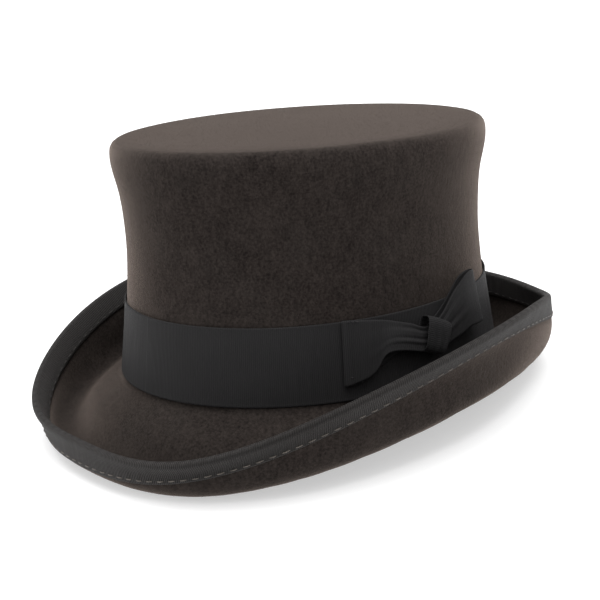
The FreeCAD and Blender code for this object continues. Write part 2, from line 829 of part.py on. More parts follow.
def settle_stand():
    """Work out how far the crown's frame is lifted and shifted when the raked hat stands on its brim."""
    rake = math.radians(size("crown_rake"))
    lowest = 0.0
    front = 0.0
    back = 0.0
    for angle in ring_angles():
        for point in binding_profile(angle)[1]:
            spot = around(angle, point.x, point.y)
            along = spot.y * math.cos(rake) + spot.z * math.sin(rake)
            front = min(front, along)
            back = max(back, along)
        curve = profile_curve(angle)
        for index in range(200):
            where = curve.FirstParameter + (curve.LastParameter - curve.FirstParameter) * index / 200
            point, _, outward = lines_at(curve, where)
            under = point - outward * size("felt_thickness")
            spot = around(angle, under.x, under.y)
            lowest = min(lowest, spot.z * math.cos(rake) - spot.y * math.sin(rake))
    add_size("stand_lift", -lowest, "break above the ground")
    add_size("stand_shift", -(front + back) / 2, "centres the brim over the origin")


def check_and_write(parts):
    """Stop if any object failed, then write one file for each sub-part."""
    doc.recompute()
    for item in doc.Objects:
        if "Invalid" in item.State or "Error" in item.State:
            raise RuntimeError(f"{item.Name} failed: {item.State}")
    os.makedirs("parts", exist_ok=True)
    for part in parts:
        shape = part.Shape
        if shape.isNull() or not shape.isValid() or not shape.Solids:
            raise RuntimeError(f"{part.Label} has no valid solid")
        shape.exportStep(f"parts/{part.Label}.step")
        box = shape.BoundBox
        print(
            f"{part.Label}: {len(shape.Solids)} solids, {shape.Volume:.0f} mm3, "
            f"X {box.XMin:.1f}..{box.XMax:.1f} Y {box.YMin:.1f}..{box.YMax:.1f} Z {box.ZMin:.1f}..{box.ZMax:.1f}"
        )


settle_stand()
check_and_write(
    [
        felt_body(),
        brim_binding(),
        binding_stitches(),
        hat_band(),
        bow_loops(),
        bow_knot(),
        wing_tacks(),
        lining_side(),
        lining_tip(),
        lining_cord(),
        sweatband(),
        sweatband_reed(),
        sweatband_stitches(),
        seam_tape(),
        small_bow(),
        size_tab(),
    ]
)
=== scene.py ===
"""A low-crowned felt top hat: its felt, ribbons, stitches and lining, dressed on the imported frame.

Sizes are in metres. The hat is drawn in the crown's own frame: Z up the crown's axis, the front at -Y, the
wearer's left at +X, and Z = 0 at the break between wall and brim. Each piece is then stood on the brim.
"""

import json
import logging
import math
from collections.abc import Sequence
from dataclasses import dataclass, field
from enum import Enum
from typing import Any

import bmesh
import bpy
import numpy as np
from mathutils import Matrix, Vector


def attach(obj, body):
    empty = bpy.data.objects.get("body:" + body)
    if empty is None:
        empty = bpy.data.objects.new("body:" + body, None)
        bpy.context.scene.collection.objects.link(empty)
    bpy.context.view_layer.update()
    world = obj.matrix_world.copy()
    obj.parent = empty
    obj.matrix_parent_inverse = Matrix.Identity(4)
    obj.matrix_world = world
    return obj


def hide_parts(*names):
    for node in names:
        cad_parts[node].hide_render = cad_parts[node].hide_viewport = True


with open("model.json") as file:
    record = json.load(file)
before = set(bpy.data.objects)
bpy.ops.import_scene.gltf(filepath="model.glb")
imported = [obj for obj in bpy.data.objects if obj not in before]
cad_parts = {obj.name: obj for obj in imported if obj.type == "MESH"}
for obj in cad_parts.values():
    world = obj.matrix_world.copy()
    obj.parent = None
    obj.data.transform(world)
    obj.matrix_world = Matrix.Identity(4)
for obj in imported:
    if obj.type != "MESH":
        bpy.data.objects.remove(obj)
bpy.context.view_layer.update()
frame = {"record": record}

log = logging.getLogger("top_hat")
Array = np.ndarray
Rows = Sequence[Sequence[float]]
Piece = bpy.types.Object
Tree = bpy.types.NodeTree
Node = bpy.types.Node
Socket = bpy.types.NodeSocket
Sockets = bpy.types.bpy_prop_collection
MM = 0.001


# ---------------------------------------------------------------- lines and forms


class Line:
    """A smooth line through points, with a place on it given by a share from 0 to 1."""

    def __init__(self, points: Rows, places: Sequence[float] | None = None, flat_ends: bool = False) -> None:
        """Fit the line.

        Args:
            points: The points it goes through, of any number of coordinates.
            places: Where each point lies along it; by default its distance along the chords.
            flat_ends: True for a line that starts and ends without a slope.
        """
        self.points = np.atleast_2d(np.asarray(points, float).T).T
        if places is None:
            chords = np.linalg.norm(np.diff(self.points, axis=0), axis=1)
            places = np.concatenate([[0.0], np.cumsum(chords)])
        self.places = np.asarray(places, float)
        self.bends = self._bends(flat_ends)

    def _bends(self, flat_ends: bool) -> Array:
        """The second derivative at each point, from the usual three-term equations."""
        count = len(self.places)
        steps = np.diff(self.places)
        slopes = np.diff(self.points, axis=0) / steps[:, None]
        matrix = np.zeros((count, count))
        right = np.zeros_like(self.points)
        for index in range(1, count - 1):
            matrix[index, index - 1 : index + 2] = (
                steps[index - 1],
                2 * (steps[index - 1] + steps[index]),
                steps[index],
            )
            right[index] = 6 * (slopes[index] - slopes[index - 1])
        matrix[0, 0] = matrix[-1, -1] = 1.0
        if flat_ends:
            matrix[0, :2] = (2 * steps[0], steps[0])
            right[0] = 6 * slopes[0]
            matrix[-1, -2:] = (steps[-1], 2 * steps[-1])
            right[-1] = -6 * slopes[-1]
        return np.linalg.solve(matrix, right)

    def at(self, shares: Array | float) -> Array:
        """The points at shares of the way along.

        Args:
            shares: From 0 at the first point to 1 at the last.

        Returns:
            One row for each share.
        """
        where = self.places[0] + np.atleast_1d(shares) * (self.places[-1] - self.places[0])
        left = np.clip(np.searchsorted(self.places, where, side="right") - 1, 0, len(self.places) - 2)
        step = self.places[left + 1] - self.places[left]
        before = ((self.places[left + 1] - where) / step)[:, None]
        after = 1 - before
        curl = (before**3 - before) * self.bends[left] + (after**3 - after) * self.bends[left + 1]
        return before * self.points[left] + after * self.points[left + 1] + curl * (step**2)[:, None] / 6


@dataclass(frozen=True)
class HatForm:
    """The block that the hat is shaped on: the crown's wall and the brim's roll at every angle."""

    half_length: float = 105.6 * MM
    half_width: float = 91.2 * MM
    height: float = 123.6 * MM
    waist: float = 6.6 * MM
    waist_skew: float = 1.15
    taper: float = 1.2 * MM
    tip_radius: float = 5.5 * MM
    break_radius: float = 1.6 * MM
    felt: float = 2.3 * MM
    rake: float = math.radians(3.9)
    edge_heights: tuple[float, ...] = (-13.1, -8.9, 14.7, 32.1, 31.8, 19.9, 18.8)
    trough_heights: tuple[float, ...] = (-29.6, -27.5, -14.6, -1.4, -1.4, -8.9, -11.9)
    overhangs: tuple[float, ...] = (38.4, 45.8, 43.5, 36.5, 28.9, 27.3, 26.0)
    leans: tuple[float, ...] = (0.0, 0.08, 0.12, 0.22, 0.09, -0.11, 0.01)
    roll: tuple[tuple[float, float, float], ...] = (
        (0.87, 0.12, 0.6),
        (0.95, 0.3, 1.0),
        (0.98, 0.72, 0.8),
        (1.0, 1.0, 0.0),
    )

    def brim_value(self, values: Sequence[float], angle: float) -> float:
        """A brim size given every 30 degrees from the front to the back, at an angle.

        Args:
            values: The size at each step.
            angle: Radians from the front.

        Returns:
            The size in the unit it was given in.
        """
        turn = abs(math.remainder(angle, 2 * math.pi)) / math.pi
        return float(Line([[value] for value in values], list(range(len(values))), True).at(turn)[0, 0])

    def wall_inset(self, height: Array | float) -> Array | float:
        """How far the wall stands inside the break's oval at a height."""
        share = np.clip(np.asarray(height, float) / self.height, 0.0, 1.0)
        return self.waist * np.sin(np.pi * share**self.waist_skew) + self.taper * share**2

    def profile(self, angle: float) -> Array:
        """The felt's outer face at an angle, from the tip's edge down to the brim's edge.

        Args:
            angle: Radians from the front.

        Returns:
            Rows of offset from the break's oval and height.
        """
        shoulder = self.height - self.tip_radius
        centre = -float(self.wall_inset(shoulder)) - self.tip_radius
        points = [
            (centre + self.tip_radius * math.cos(turn), shoulder + self.tip_radius * math.sin(turn))
            for turn in (math.pi / 2, math.pi / 3, math.pi / 6)
        ]
        for share in (1.0, 0.83, 0.66, 0.49, 0.32, 0.18, 0.08):
            points.append((-float(self.wall_inset(share * shoulder)), share * shoulder))
        out = self.brim_value(self.overhangs, angle) * MM
        trough = self.brim_value(self.trough_heights, angle) * MM
        rise = self.brim_value(self.edge_heights, angle) * MM - trough
        lean = self.brim_value(self.leans, angle)
        slope = math.atan2(0.45 * trough, 0.35 * out)
        for share in (0.0, 0.5, 1.0):
            along = self.break_radius * share**2
            above = self.break_radius * (1 - share) ** 2
            points.append((along * math.cos(slope), above + along * math.sin(slope)))
        points += [(0.35 * out, 0.45 * trough), (0.73 * out, trough)]
        points += [((over - drawn * lean) * out, trough + up * rise) for over, up, drawn in self.roll]
        return np.array(points)

    def around(self, angles: Array, offset: Array, height: Array) -> Array:
        """Points at angles from the front, offsets from the break's oval and heights.

        Args:
            angles: Radians, of any shape.
            offset: Metres outwards, of a matching shape.
            height: Metres above the break, of a matching shape.

        Returns:
            The points, with a last axis of three.
        """
        angles, offset, height = np.broadcast_arrays(angles, offset, height)
        across = (self.half_width + offset) * np.sin(angles)
        along = -(self.half_length + offset) * np.cos(angles)
        return np.stack([across, along, height], -1)

    def on_wall(self, degrees: Array, height: Array, cover: Array) -> Array:
        """Points over the wall: degrees from the front, metres above the break and metres off the felt."""
        return self.around(np.radians(degrees), cover - self.wall_inset(height), height)


class Stand:
    """How the crown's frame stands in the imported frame, found from the middle of the tip."""

    def __init__(self, form: HatForm, record: dict[str, Any]) -> None:
        """Work out the shift and the lift.

        Args:
            form: The hat's form.
            record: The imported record, with the mount on the tip.
        """
        tip = next(mount for mount in record["mounts"] if mount["name"] == "crown_tip")["pos_m"]
        self.sine, self.cosine = math.sin(form.rake), math.cos(form.rake)
        self.shift = tip[1] - form.height * self.sine
        self.lift = tip[2] - form.height * self.cosine

    def turn(self, directions: Array) -> Array:
        """Directions of the crown's frame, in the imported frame."""
        along = directions[..., 1] * self.cosine + directions[..., 2] * self.sine
        up = directions[..., 2] * self.cosine - directions[..., 1] * self.sine
        return np.stack([directions[..., 0], along, up], -1)

    def place(self, points: Array) -> Array:
        """Points of the crown's frame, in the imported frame."""
        return self.turn(points) + np.array([0.0, self.shift, self.lift])


class Section:
    """The felt's outer face at one angle as closely spaced points, measured from the brim's edge."""

    def __init__(self, form: HatForm, angle: float, count: int = 700) -> None:
        """Lay the points out.

        Args:
            form: The hat's form.
            angle: Radians from the front.
            count: How many points.
        """
        self.points = Line(form.profile(angle)).at(np.linspace(0, 1, count))
        steps = np.linalg.norm(np.diff(self.points, axis=0), axis=1)
        along = np.concatenate([[0.0], np.cumsum(steps)])
        self.from_edge = along[-1] - along
        self.length = float(along[-1])
        slope = np.gradient(self.points, axis=0)
        slope /= np.linalg.norm(slope, axis=1)[:, None]
        self.along = slope
        self.outward = np.stack([-slope[:, 1], slope[:, 0]], 1)

    def at(self, distance: Array | float) -> tuple[Array, Array, Array]:
        """Points at distances from the brim's edge.

        Args:
            distance: Metres along the felt.

        Returns:
            The points, the outward directions and the directions down the profile.
        """
        where = np.atleast_1d(distance)

        def pick(values: Array) -> Array:
            """Values at those distances."""
            return np.stack([np.interp(where, self.from_edge[::-1], values[::-1, k]) for k in (0, 1)], 1)

        return pick(self.points), pick(self.outward), pick(self.along)

    def rim(self, felt: float, degrees: Sequence[float], reach: float) -> Array:
        """Points round the brim's edge.

        Args:
            felt: The felt's thickness.
            degrees: Turns from straight out of the edge towards the upper face.
            reach: How far they lie from the middle of the felt.

        Returns:
            One row for each turn.
        """
        turns = np.radians(degrees)[:, None]
        middle = self.points[-1] - self.outward[-1] * felt / 2
        return middle + (self.along[-1] * np.cos(turns) + self.outward[-1] * np.sin(turns)) * reach


# ---------------------------------------------------------------- meshes


def put_in_scene(name: str, data: bpy.types.ID) -> Piece:
    """A new object in the scene that holds the data."""
    made = bpy.data.objects.new(name, data)
    bpy.context.scene.collection.objects.link(made)
    return made


def grid_mesh(
    name: str, points: Array, uv: Array | None, wrap: tuple[bool, bool], caps: tuple[bool, bool]
) -> Piece:
    """A smooth mesh from rows of points, facing outwards.

    Args:
        name: The piece's name.
        points: Points by ring place, station and coordinate.
        uv: A flat position in metres for each point and each wrapped seam, or None.
        wrap: Whether the last row joins the first, in each direction.
        caps: Whether a closing point is set at the first and the last station.

    Returns:
        The new object, at the origin.
    """
    rows, stations = points.shape[:2]
    verts = points.reshape(-1, 3)
    faces: list[tuple[int, ...]] = []
    flats: list[list[float]] = []
    last_row = rows if wrap[0] else rows - 1
    last_station = stations if wrap[1] else stations - 1
    for i in range(last_row):
        j = (i + 1) % rows
        for k in range(last_station):
            m = (k + 1) % stations
            faces.append((i * stations + k, i * stations + m, j * stations + m, j * stations + k))
            if uv is not None:
                flats += [uv[i, k], uv[i, k + 1], uv[i + 1, k + 1], uv[i + 1, k]]
    extra = []
    for end, wanted in enumerate(caps):
        if not wanted:
            continue
        station = 0 if end == 0 else stations - 1
        middle = points[:, station].mean(0)
        extra.append(middle)
        tip = rows * stations + len(extra) - 1
        for i in range(rows):
            j = (i + 1) % rows
            pair = (i * stations + station, j * stations + station)
            faces.append((*(pair if end == 0 else pair[::-1]), tip))
            if uv is not None:
                flats += [uv[i, station], uv[i + 1, station], uv[i, station]]
    if extra:
        verts = np.concatenate([verts, np.array(extra)])
    mesh = bpy.data.meshes.new(name)
    mesh.from_pydata(verts.tolist(), [], faces)
    mesh.shade_smooth()
    if uv is not None:
        layer = mesh.uv_layers.new(name="flat")
        layer.data.foreach_set("uv", np.array(flats, np.float32).ravel())
    mesh.validate()
    mesh.update()
    piece = put_in_scene(name, mesh)
    face_outwards(piece)
    return piece


def face_outwards(piece: Piece) -> None:
    """Turn a closed piece's faces outwards if its volume comes out negative."""
    mesh = piece.data
    mesh.calc_loop_triangles()
    corners = np.empty(len(mesh.loop_triangles) * 3, np.int32)
    mesh.loop_triangles.foreach_get("vertices", corners)
    co = np.empty(len(mesh.vertices) * 3)
    mesh.vertices.foreach_get("co", co)
    tri = co.reshape(-1, 3)[corners].reshape(-1, 3, 3)
    volume = np.einsum("ij,ij->i", tri[:, 0], np.cross(tri[:, 1], tri[:, 2])).sum()
    if volume < 0:
        mesh.flip_normals()


def ribbon_shell(
    name: str, centre: Array, thickness: float, wrap: bool, bead: float = 0.0
) -> Piece:
    """A ribbon of real thickness about a sheet of points, with a woven bead along both edges.

    Args:
        name: The piece's name.
        centre: The sheet's middle, by place along the ribbon, place across it and coordinate.
        thickness: The ribbon's thickness.
        wrap: True where the ribbon runs round and meets itself.
        bead: How much thicker the woven edges are.

    Returns:
        The ribbon, with a UV map of metres along and across.
    """
    long_way = np.roll(centre, -1, 0) - np.roll(centre, 1, 0) if wrap else np.gradient(centre, axis=0)
    cross_way = np.gradient(centre, axis=1)
    normal = np.cross(long_way, cross_way)
    normal /= np.linalg.norm(normal, axis=2)[..., None]
    steps_across = np.linalg.norm(np.diff(centre, axis=1), axis=2)
    across = np.concatenate([np.zeros((len(centre), 1)), np.cumsum(steps_across, 1)], 1)
    width = across[:, -1:]
    from_edge = np.minimum(across, width - across)
    half = thickness / 2 * (1 + bead * np.exp(-((from_edge / (0.9 * MM)) ** 2)))
    half = half * np.clip(0.45 + from_edge / (0.35 * MM), 0, 1)
    top = centre + normal * half[..., None]
    bottom = centre - normal * half[..., None]
    loop = np.concatenate([top, bottom[:, ::-1]], 1)
    gap = np.linalg.norm(np.roll(centre, -1, 0) - centre, axis=2).mean(1)
    along = np.concatenate([[0.0], np.cumsum(gap)])
    if not wrap:
        along[-1] = along[-2]
    flat_across = np.concatenate([across.mean(0), across.mean(0)[::-1], across.mean(0)[:1]])
    uv = np.stack(np.broadcast_arrays(along[:, None], flat_across[None, :]), -1)
    piece = grid_mesh(name, loop, uv, (wrap, True), (False, False))
    if not wrap:
        close_ends(piece, loop.shape[1], len(loop))
    return piece


def close_ends(piece: Piece, ring: int, rows: int) -> None:
    """Fill both ends of an open ribbon.

    Args:
        piece: The ribbon.
        ring: Points round its section.
        rows: How many sections it has.
    """
    mesh = bmesh.new()
    mesh.from_mesh(piece.data)
    mesh.verts.ensure_lookup_table()
    half = ring // 2
    for row in (0, rows - 1):
        base = row * ring
        for k in range(half - 1):
            corners = [mesh.verts[base + n] for n in (k, k + 1, ring - 2 - k, ring - 1 - k)]
            if len(set(corners)) == 4 and mesh.faces.get(corners) is None:
                mesh.faces.new(corners)
    bmesh.ops.recalc_face_normals(mesh, faces=mesh.faces)
    mesh.to_mesh(piece.data)
    mesh.free()
    piece.data.shade_smooth()
    face_outwards(piece)


# ---------------------------------------------------------------- node graphs


class Graph:
    """A node tree with a short way to add nodes and join them."""

    def __init__(self, tree: Tree) -> None:
        """Hold the tree."""
        self.tree = tree

    def send(self, node: Node, values: dict[int | str, Any]) -> None:
        """Link sockets to a node's inputs or set their values; None leaves one alone."""
        for key, value in values.items():
            if isinstance(value, Socket):
                self.tree.links.new(value, node.inputs[key])
            elif value is not None:
                node.inputs[key].default_value = value

    def add(
        self, kind: str, *inputs: Any, named: dict[int | str, Any] | None = None, **settings: Any
    ) -> Node:
        """Add a node.

        Args:
            kind: The node's type.
            inputs: Values or sockets for its inputs in order; None leaves one alone.
            named: Values or sockets for its inputs by name or number.
            settings: The node's own properties.

        Returns:
            The node.
        """
        node = self.tree.nodes.new(kind)
        for key, value in settings.items():
            setattr(node, key, value)
        self.send(node, dict(enumerate(inputs)) | (named or {}))
        return node

    def math(self, operation: str, first: Any, second: Any = None, third: Any = None) -> Socket:
        """The result of a Math node."""
        return self.add("ShaderNodeMath", first, second, third, operation=operation).outputs[0]

    def blend(self, share: Any, first: Any, second: Any) -> Socket:
        """A colour between two others."""
        return self.add("ShaderNodeMix", named={0: share, 6: first, 7: second}, data_type="RGBA").outputs[2]

    def noise(
        self, place: Any, scale: Any, detail: float = 3.0, roughness: float = 0.55
    ) -> Socket:
        """The grey value of a Noise node."""
        named = {"Vector": place, "Scale": scale, "Detail": detail, "Roughness": roughness}
        return self.add("ShaderNodeTexNoise", named=named).outputs["Fac"]

    def spread(
        self, value: Any, low: float, high: float, to_low: float = 0.0, to_high: float = 1.0
    ) -> Socket:
        """A value stretched from one range to another, held at its ends."""
        return self.add("ShaderNodeMapRange", value, low, high, to_low, to_high).outputs[0]

    def stretch(self, place: Any, factors: tuple[float, float, float]) -> Socket:
        """A place with each of its axes multiplied."""
        return self.add("ShaderNodeVectorMath", place, factors, operation="MULTIPLY").outputs[0]

    def vector(self, x: Any, y: Any, z: Any) -> Socket:
        """Three numbers as one vector."""
        return self.add("ShaderNodeCombineXYZ", x, y, z).outputs[0]

    def split(self, place: Any) -> Sockets:
        """The three numbers of a vector."""
        return self.add("ShaderNodeSeparateXYZ", place).outputs

    def random(self, kind: str, low: Any, high: Any, seed: Any) -> Socket:
        """A random value for each point.

        Args:
            kind: FLOAT_VECTOR or FLOAT, which are the node's first and second set of sockets.
            low: The lowest value.
            high: The highest value.
            seed: The seed.

        Returns:
            The value.
        """
        part = 0 if kind == "FLOAT_VECTOR" else 1
        named = {2 * part: low, 2 * part + 1: high, "Seed": seed}
        return self.add("FunctionNodeRandomValue", named=named, data_type=kind).outputs[part]

    def turned(self, rotation: Any, more: Any) -> Socket:
        """A rotation with another added in its own frame."""
        return self.add("FunctionNodeRotateRotation", rotation, more, rotation_space="LOCAL").outputs[0]

    def planted(self, points: Any, shape: Any, rotation: Any, scale: Any) -> Socket:
        """Real copies of a shape, one on every point."""
        named = {"Points": points, "Instance": shape, "Rotation": rotation, "Scale": scale}
        placed = self.add("GeometryNodeInstanceOnPoints", named=named).outputs[0]
        return self.add("GeometryNodeRealizeInstances", placed).outputs[0]


class Kind(Enum):
    """The sockets that a node group may have."""

    NUMBER = "NodeSocketFloat"
    COLOUR = "NodeSocketColor"
    PLACE = "NodeSocketVector"
    SHAPE = "NodeSocketGeometry"
    COUNT = "NodeSocketInt"
    CLOTH = "NodeSocketMaterial"


def new_group(
    name: str, kind: str, inputs: dict[str, Kind], outputs: dict[str, Kind]
) -> tuple[Graph, Sockets, Node]:
    """An empty node group with its sockets.

    Args:
        name: The group's name.
        kind: The tree's type.
        inputs: Each input's kind.
        outputs: Each output's kind.

    Returns:
        The graph, the sockets that come in and the output node.
    """
    tree = bpy.data.node_groups.new(name, kind)
    for direction, sockets in (("INPUT", inputs), ("OUTPUT", outputs)):
        for label, socket in sockets.items():
            tree.interface.new_socket(name=label, in_out=direction, socket_type=socket.value)
    graph = Graph(tree)
    return graph, graph.add("NodeGroupInput").outputs, graph.add("NodeGroupOutput")


def surface_group(name: str, *labels: str) -> tuple[Graph, Sockets, Node]:
    """An empty shader group that gives a surface its colour, roughness and height.

    Args:
        name: The group's name.
        labels: Its inputs: a place, two colours and any numbers.

    Returns:
        The graph, the sockets that come in and the output node.
    """
    kinds = [Kind.PLACE, Kind.COLOUR, Kind.COLOUR] + [Kind.NUMBER] * (len(labels) - 3)
    outputs = {"Colour": Kind.COLOUR, "Roughness": Kind.NUMBER, "Height": Kind.NUMBER}
    return new_group(name, "ShaderNodeTree", dict(zip(labels, kinds)), outputs)


def rgba(colour: Sequence[float]) -> tuple[float, float, float, float]:
    """A linear colour with its alpha."""
    return (colour[0], colour[1], colour[2], 1.0)


class Effects:
    """The surface effects that the finishes share, each a shader node group built once."""

    def __init__(self) -> None:
        """Build every group."""
        self.nap = self._nap()
        self.ribs = self._ribs()
        self.dust = self._dust()
        self.grain = self._grain()
        self.weave = self._weave()

    def _nap(self) -> Tree:
        """Matted wool: a mottled colour, pale stray fibres and a fuzzy height."""
        graph, given, sink = surface_group("wool_nap", "Place", "Dark", "Pale", "Speckle", "Cloud")
        place, fine = given["Place"], given["Speckle"]
        speckle = graph.noise(place, fine, 4.0, 0.7)
        cloud = graph.noise(place, given["Cloud"], 4.0, 0.6)
        combed = graph.stretch(place, (1.0, 1.0, 0.35))
        strands = graph.noise(combed, graph.math("MULTIPLY", fine, 0.45), 6.0, 0.75)
        mixed = graph.math("MULTIPLY_ADD", speckle, 0.65, graph.math("MULTIPLY", strands, 0.35))
        mixed = graph.math("MULTIPLY_ADD", cloud, 0.2, mixed)
        fuzz = graph.noise(place, graph.math("MULTIPLY", fine, 1.9), 5.0, 0.7)
        values = {
            "Colour": graph.blend(graph.spread(mixed, 0.45, 0.74), given["Dark"], given["Pale"]),
            "Roughness": graph.spread(cloud, 0.3, 0.7, 0.86, 1.0),
            "Height": graph.math("MULTIPLY_ADD", fuzz, 0.5, mixed),
        }
        graph.send(sink, values)
        return graph.tree

    def _ribs(self) -> Tree:
        """Grosgrain: round ribs across the ribbon, with fine warp threads over them, and painted shade in the
        hollows between the ribs.
        """
        graph, given, sink = surface_group("grosgrain_ribs", "Flat", "Colour", "Valley", "Pitch")
        flat = given["Flat"]
        length, width, _ = graph.split(flat)
        wandering = graph.math("MULTIPLY_ADD", graph.noise(flat, 260.0, 2.0), 0.25 * MM, length)
        turns = graph.math("MULTIPLY", graph.math("DIVIDE", wandering, given["Pitch"]), math.pi)
        rib = graph.math("POWER", graph.math("ABSOLUTE", graph.math("SINE", turns)), 0.6)
        warp = graph.math("SINE", graph.math("MULTIPLY", width, 2 * math.pi / (0.32 * MM)))
        streak = graph.noise(graph.stretch(flat, (1.0, 0.04, 1.0)), 700.0, 3.0, 0.6)
        # The Valley colour is painted shade in the hollows between the ribs, mixed with random streaks.
        tone = graph.math("MULTIPLY_ADD", rib, 0.75, graph.math("MULTIPLY", streak, 0.5))
        values = {
            "Colour": graph.blend(graph.spread(tone, 0.25, 1.1), given["Valley"], given["Colour"]),
            "Roughness": graph.spread(streak, 0.3, 0.7, 0.5, 0.68),
            "Height": graph.math("MULTIPLY_ADD", warp, 0.06, rib),
        }
        graph.send(sink, values)
        return graph.tree

    def _dust(self) -> Tree:
        """Handling: a mask of soft patches and fine lint."""
        inputs = {"Place": Kind.PLACE, "Amount": Kind.NUMBER}
        graph, given, sink = new_group("handling_dust", "ShaderNodeTree", inputs, {"Mask": Kind.NUMBER})
        patch = graph.spread(graph.noise(given["Place"], 28.0, 3.0), 0.45, 0.75)
        lint = graph.spread(graph.noise(given["Place"], 1400.0, 2.0), 0.66, 0.78)
        both = graph.math("MULTIPLY_ADD", lint, 0.6, graph.math("MULTIPLY", patch, 0.4))
        graph.send(sink, {"Mask": graph.math("MULTIPLY", both, given["Amount"])})
        return graph.tree

    def _grain(self) -> Tree:
        """Leather: fine cells with creases between them, the creases painted darker as shade."""
        graph, given, sink = surface_group("leather_grain", "Place", "Colour", "Crease", "Scale")
        named = {"Vector": given["Place"], "Scale": given["Scale"]}
        cells = graph.add("ShaderNodeTexVoronoi", named=named, feature="DISTANCE_TO_EDGE").outputs[0]
        pad = graph.spread(cells, 0.0, 0.22)
        tone = graph.noise(given["Place"], 35.0, 4.0)
        mottled = graph.spread(tone, 0.25, 0.7, 0.45, 1.0)
        # Towards the cell edges the colour goes to the Crease colour: painted shade in the creases, over a
        # random mottle.
        share = graph.math("MULTIPLY", mottled, graph.spread(pad, 0.0, 1.0, 0.55, 1.0))
        values = {
            "Colour": graph.blend(share, given["Crease"], given["Colour"]),
            "Roughness": graph.spread(tone, 0.3, 0.7, 0.42, 0.6),
            "Height": pad,
        }
        graph.send(sink, values)
        return graph.tree

    def _weave(self) -> Tree:
        """Satin or tape: fine threads one way and slubs the other, with a little painted shade where the
        weave dips.
        """
        graph, given, sink = surface_group("fine_weave", "Flat", "Colour", "Shade", "Pitch")
        turn = graph.math("DIVIDE", 2 * math.pi, given["Pitch"])
        length, width, _ = graph.split(given["Flat"])
        warp = graph.math("SINE", graph.math("MULTIPLY", length, turn))
        weft = graph.math("SINE", graph.math("MULTIPLY", width, turn))
        cross = graph.math("MULTIPLY", warp, weft)
        slub = graph.noise(graph.stretch(given["Flat"], (0.06, 1.0, 1.0)), 900.0, 3.0)
        # The Shade colour comes mostly from random slubs and partly from painted shade where the weave dips,
        # as the height does.
        share = graph.spread(graph.math("MULTIPLY_ADD", cross, 0.15, slub), 0.3, 0.75)
        values = {
            "Colour": graph.blend(share, given["Shade"], given["Colour"]),
            "Roughness": graph.spread(slub, 0.3, 0.7, 0.3, 0.42),
            "Height": cross,
        }
        graph.send(sink, values)
        return graph.tree


class Place(Enum):
    """Where a finish reads its pattern from."""

    OBJECT = "Object"
    FLAT = "UV"


@dataclass(frozen=True)
class Finish:
    """One finish: its effect, its colours and how it takes the light."""

    name: str
    effect: str
    place: Place
    colours: tuple[tuple[float, float, float], tuple[float, float, float]]
    numbers: dict[str, float] = field(default_factory=dict)
    bump: float = 0.3
    bump_depth: float = 0.3 * MM
    sheen: float = 0.0
    sheen_roughness: float = 0.4
    sheen_tint: tuple[float, float, float] = (1.0, 1.0, 1.0)
    specular: float = 0.3
    dust: float = 0.0
    dust_colour: tuple[float, float, float] = (0.2, 0.18, 0.16)
    stitch_row: float = 0.0
    stitch_pitch: float = 6.3 * MM

    def make(self, effects: Effects) -> bpy.types.Material:
        """Build the material.

        Args:
            effects: The shared effects.

        Returns:
            The material.
        """
        material = bpy.data.materials.new(self.name)
        material.use_nodes = True
        material.node_tree.nodes.clear()
        graph = Graph(material.node_tree)
        places = graph.add("ShaderNodeTexCoord")
        place = places.outputs[self.place.value]
        first, second = (rgba(colour) for colour in self.colours)
        effect = getattr(effects, self.effect)
        group = graph.add("ShaderNodeGroup", place, first, second, named=self.numbers, node_tree=effect)
        colour = group.outputs["Colour"]
        height = group.outputs["Height"]
        if self.dust:
            dust = graph.add("ShaderNodeGroup", places.outputs["Object"], self.dust, node_tree=effects.dust)
            colour = graph.blend(dust.outputs["Mask"], colour, rgba(self.dust_colour))
        if self.stitch_row:
            height = self._puckered(graph, place, height)
        named = {"Strength": self.bump, "Distance": self.bump_depth, "Height": height}
        bump = graph.add("ShaderNodeBump", named=named)
        shader = graph.add(
            "ShaderNodeBsdfPrincipled",
            named={
                "Base Color": colour,
                "Roughness": group.outputs["Roughness"],
                "Normal": bump.outputs[0],
                "Specular IOR Level": self.specular,
                "Sheen Weight": self.sheen,
                "Sheen Roughness": self.sheen_roughness,
                "Sheen Tint": rgba(self.sheen_tint),
            },
        )
        graph.add("ShaderNodeOutputMaterial", shader.outputs[0])
        return material

    def _puckered(
        self, graph: Graph, place: Socket, height: Socket
    ) -> Socket:
        """The height with the hollows that a row of stitches pulls into the ribbon.

        Args:
            graph: The material's graph.
            place: The ribbon's flat position.
            height: The height so far.

        Returns:
            The new height.
        """
        length, width, _ = graph.split(place)
        away = graph.math("ABSOLUTE", graph.math("SUBTRACT", width, self.stitch_row))
        near = graph.spread(away, 0.0, 1.6 * MM, 1.0, 0.0)
        beat = graph.math("SINE", graph.math("MULTIPLY", length, 2 * math.pi / self.stitch_pitch))
        pull = graph.math("MULTIPLY", near, graph.spread(beat, -1.0, 1.0, 0.8, 2.2))
        return graph.math("SUBTRACT", height, pull)


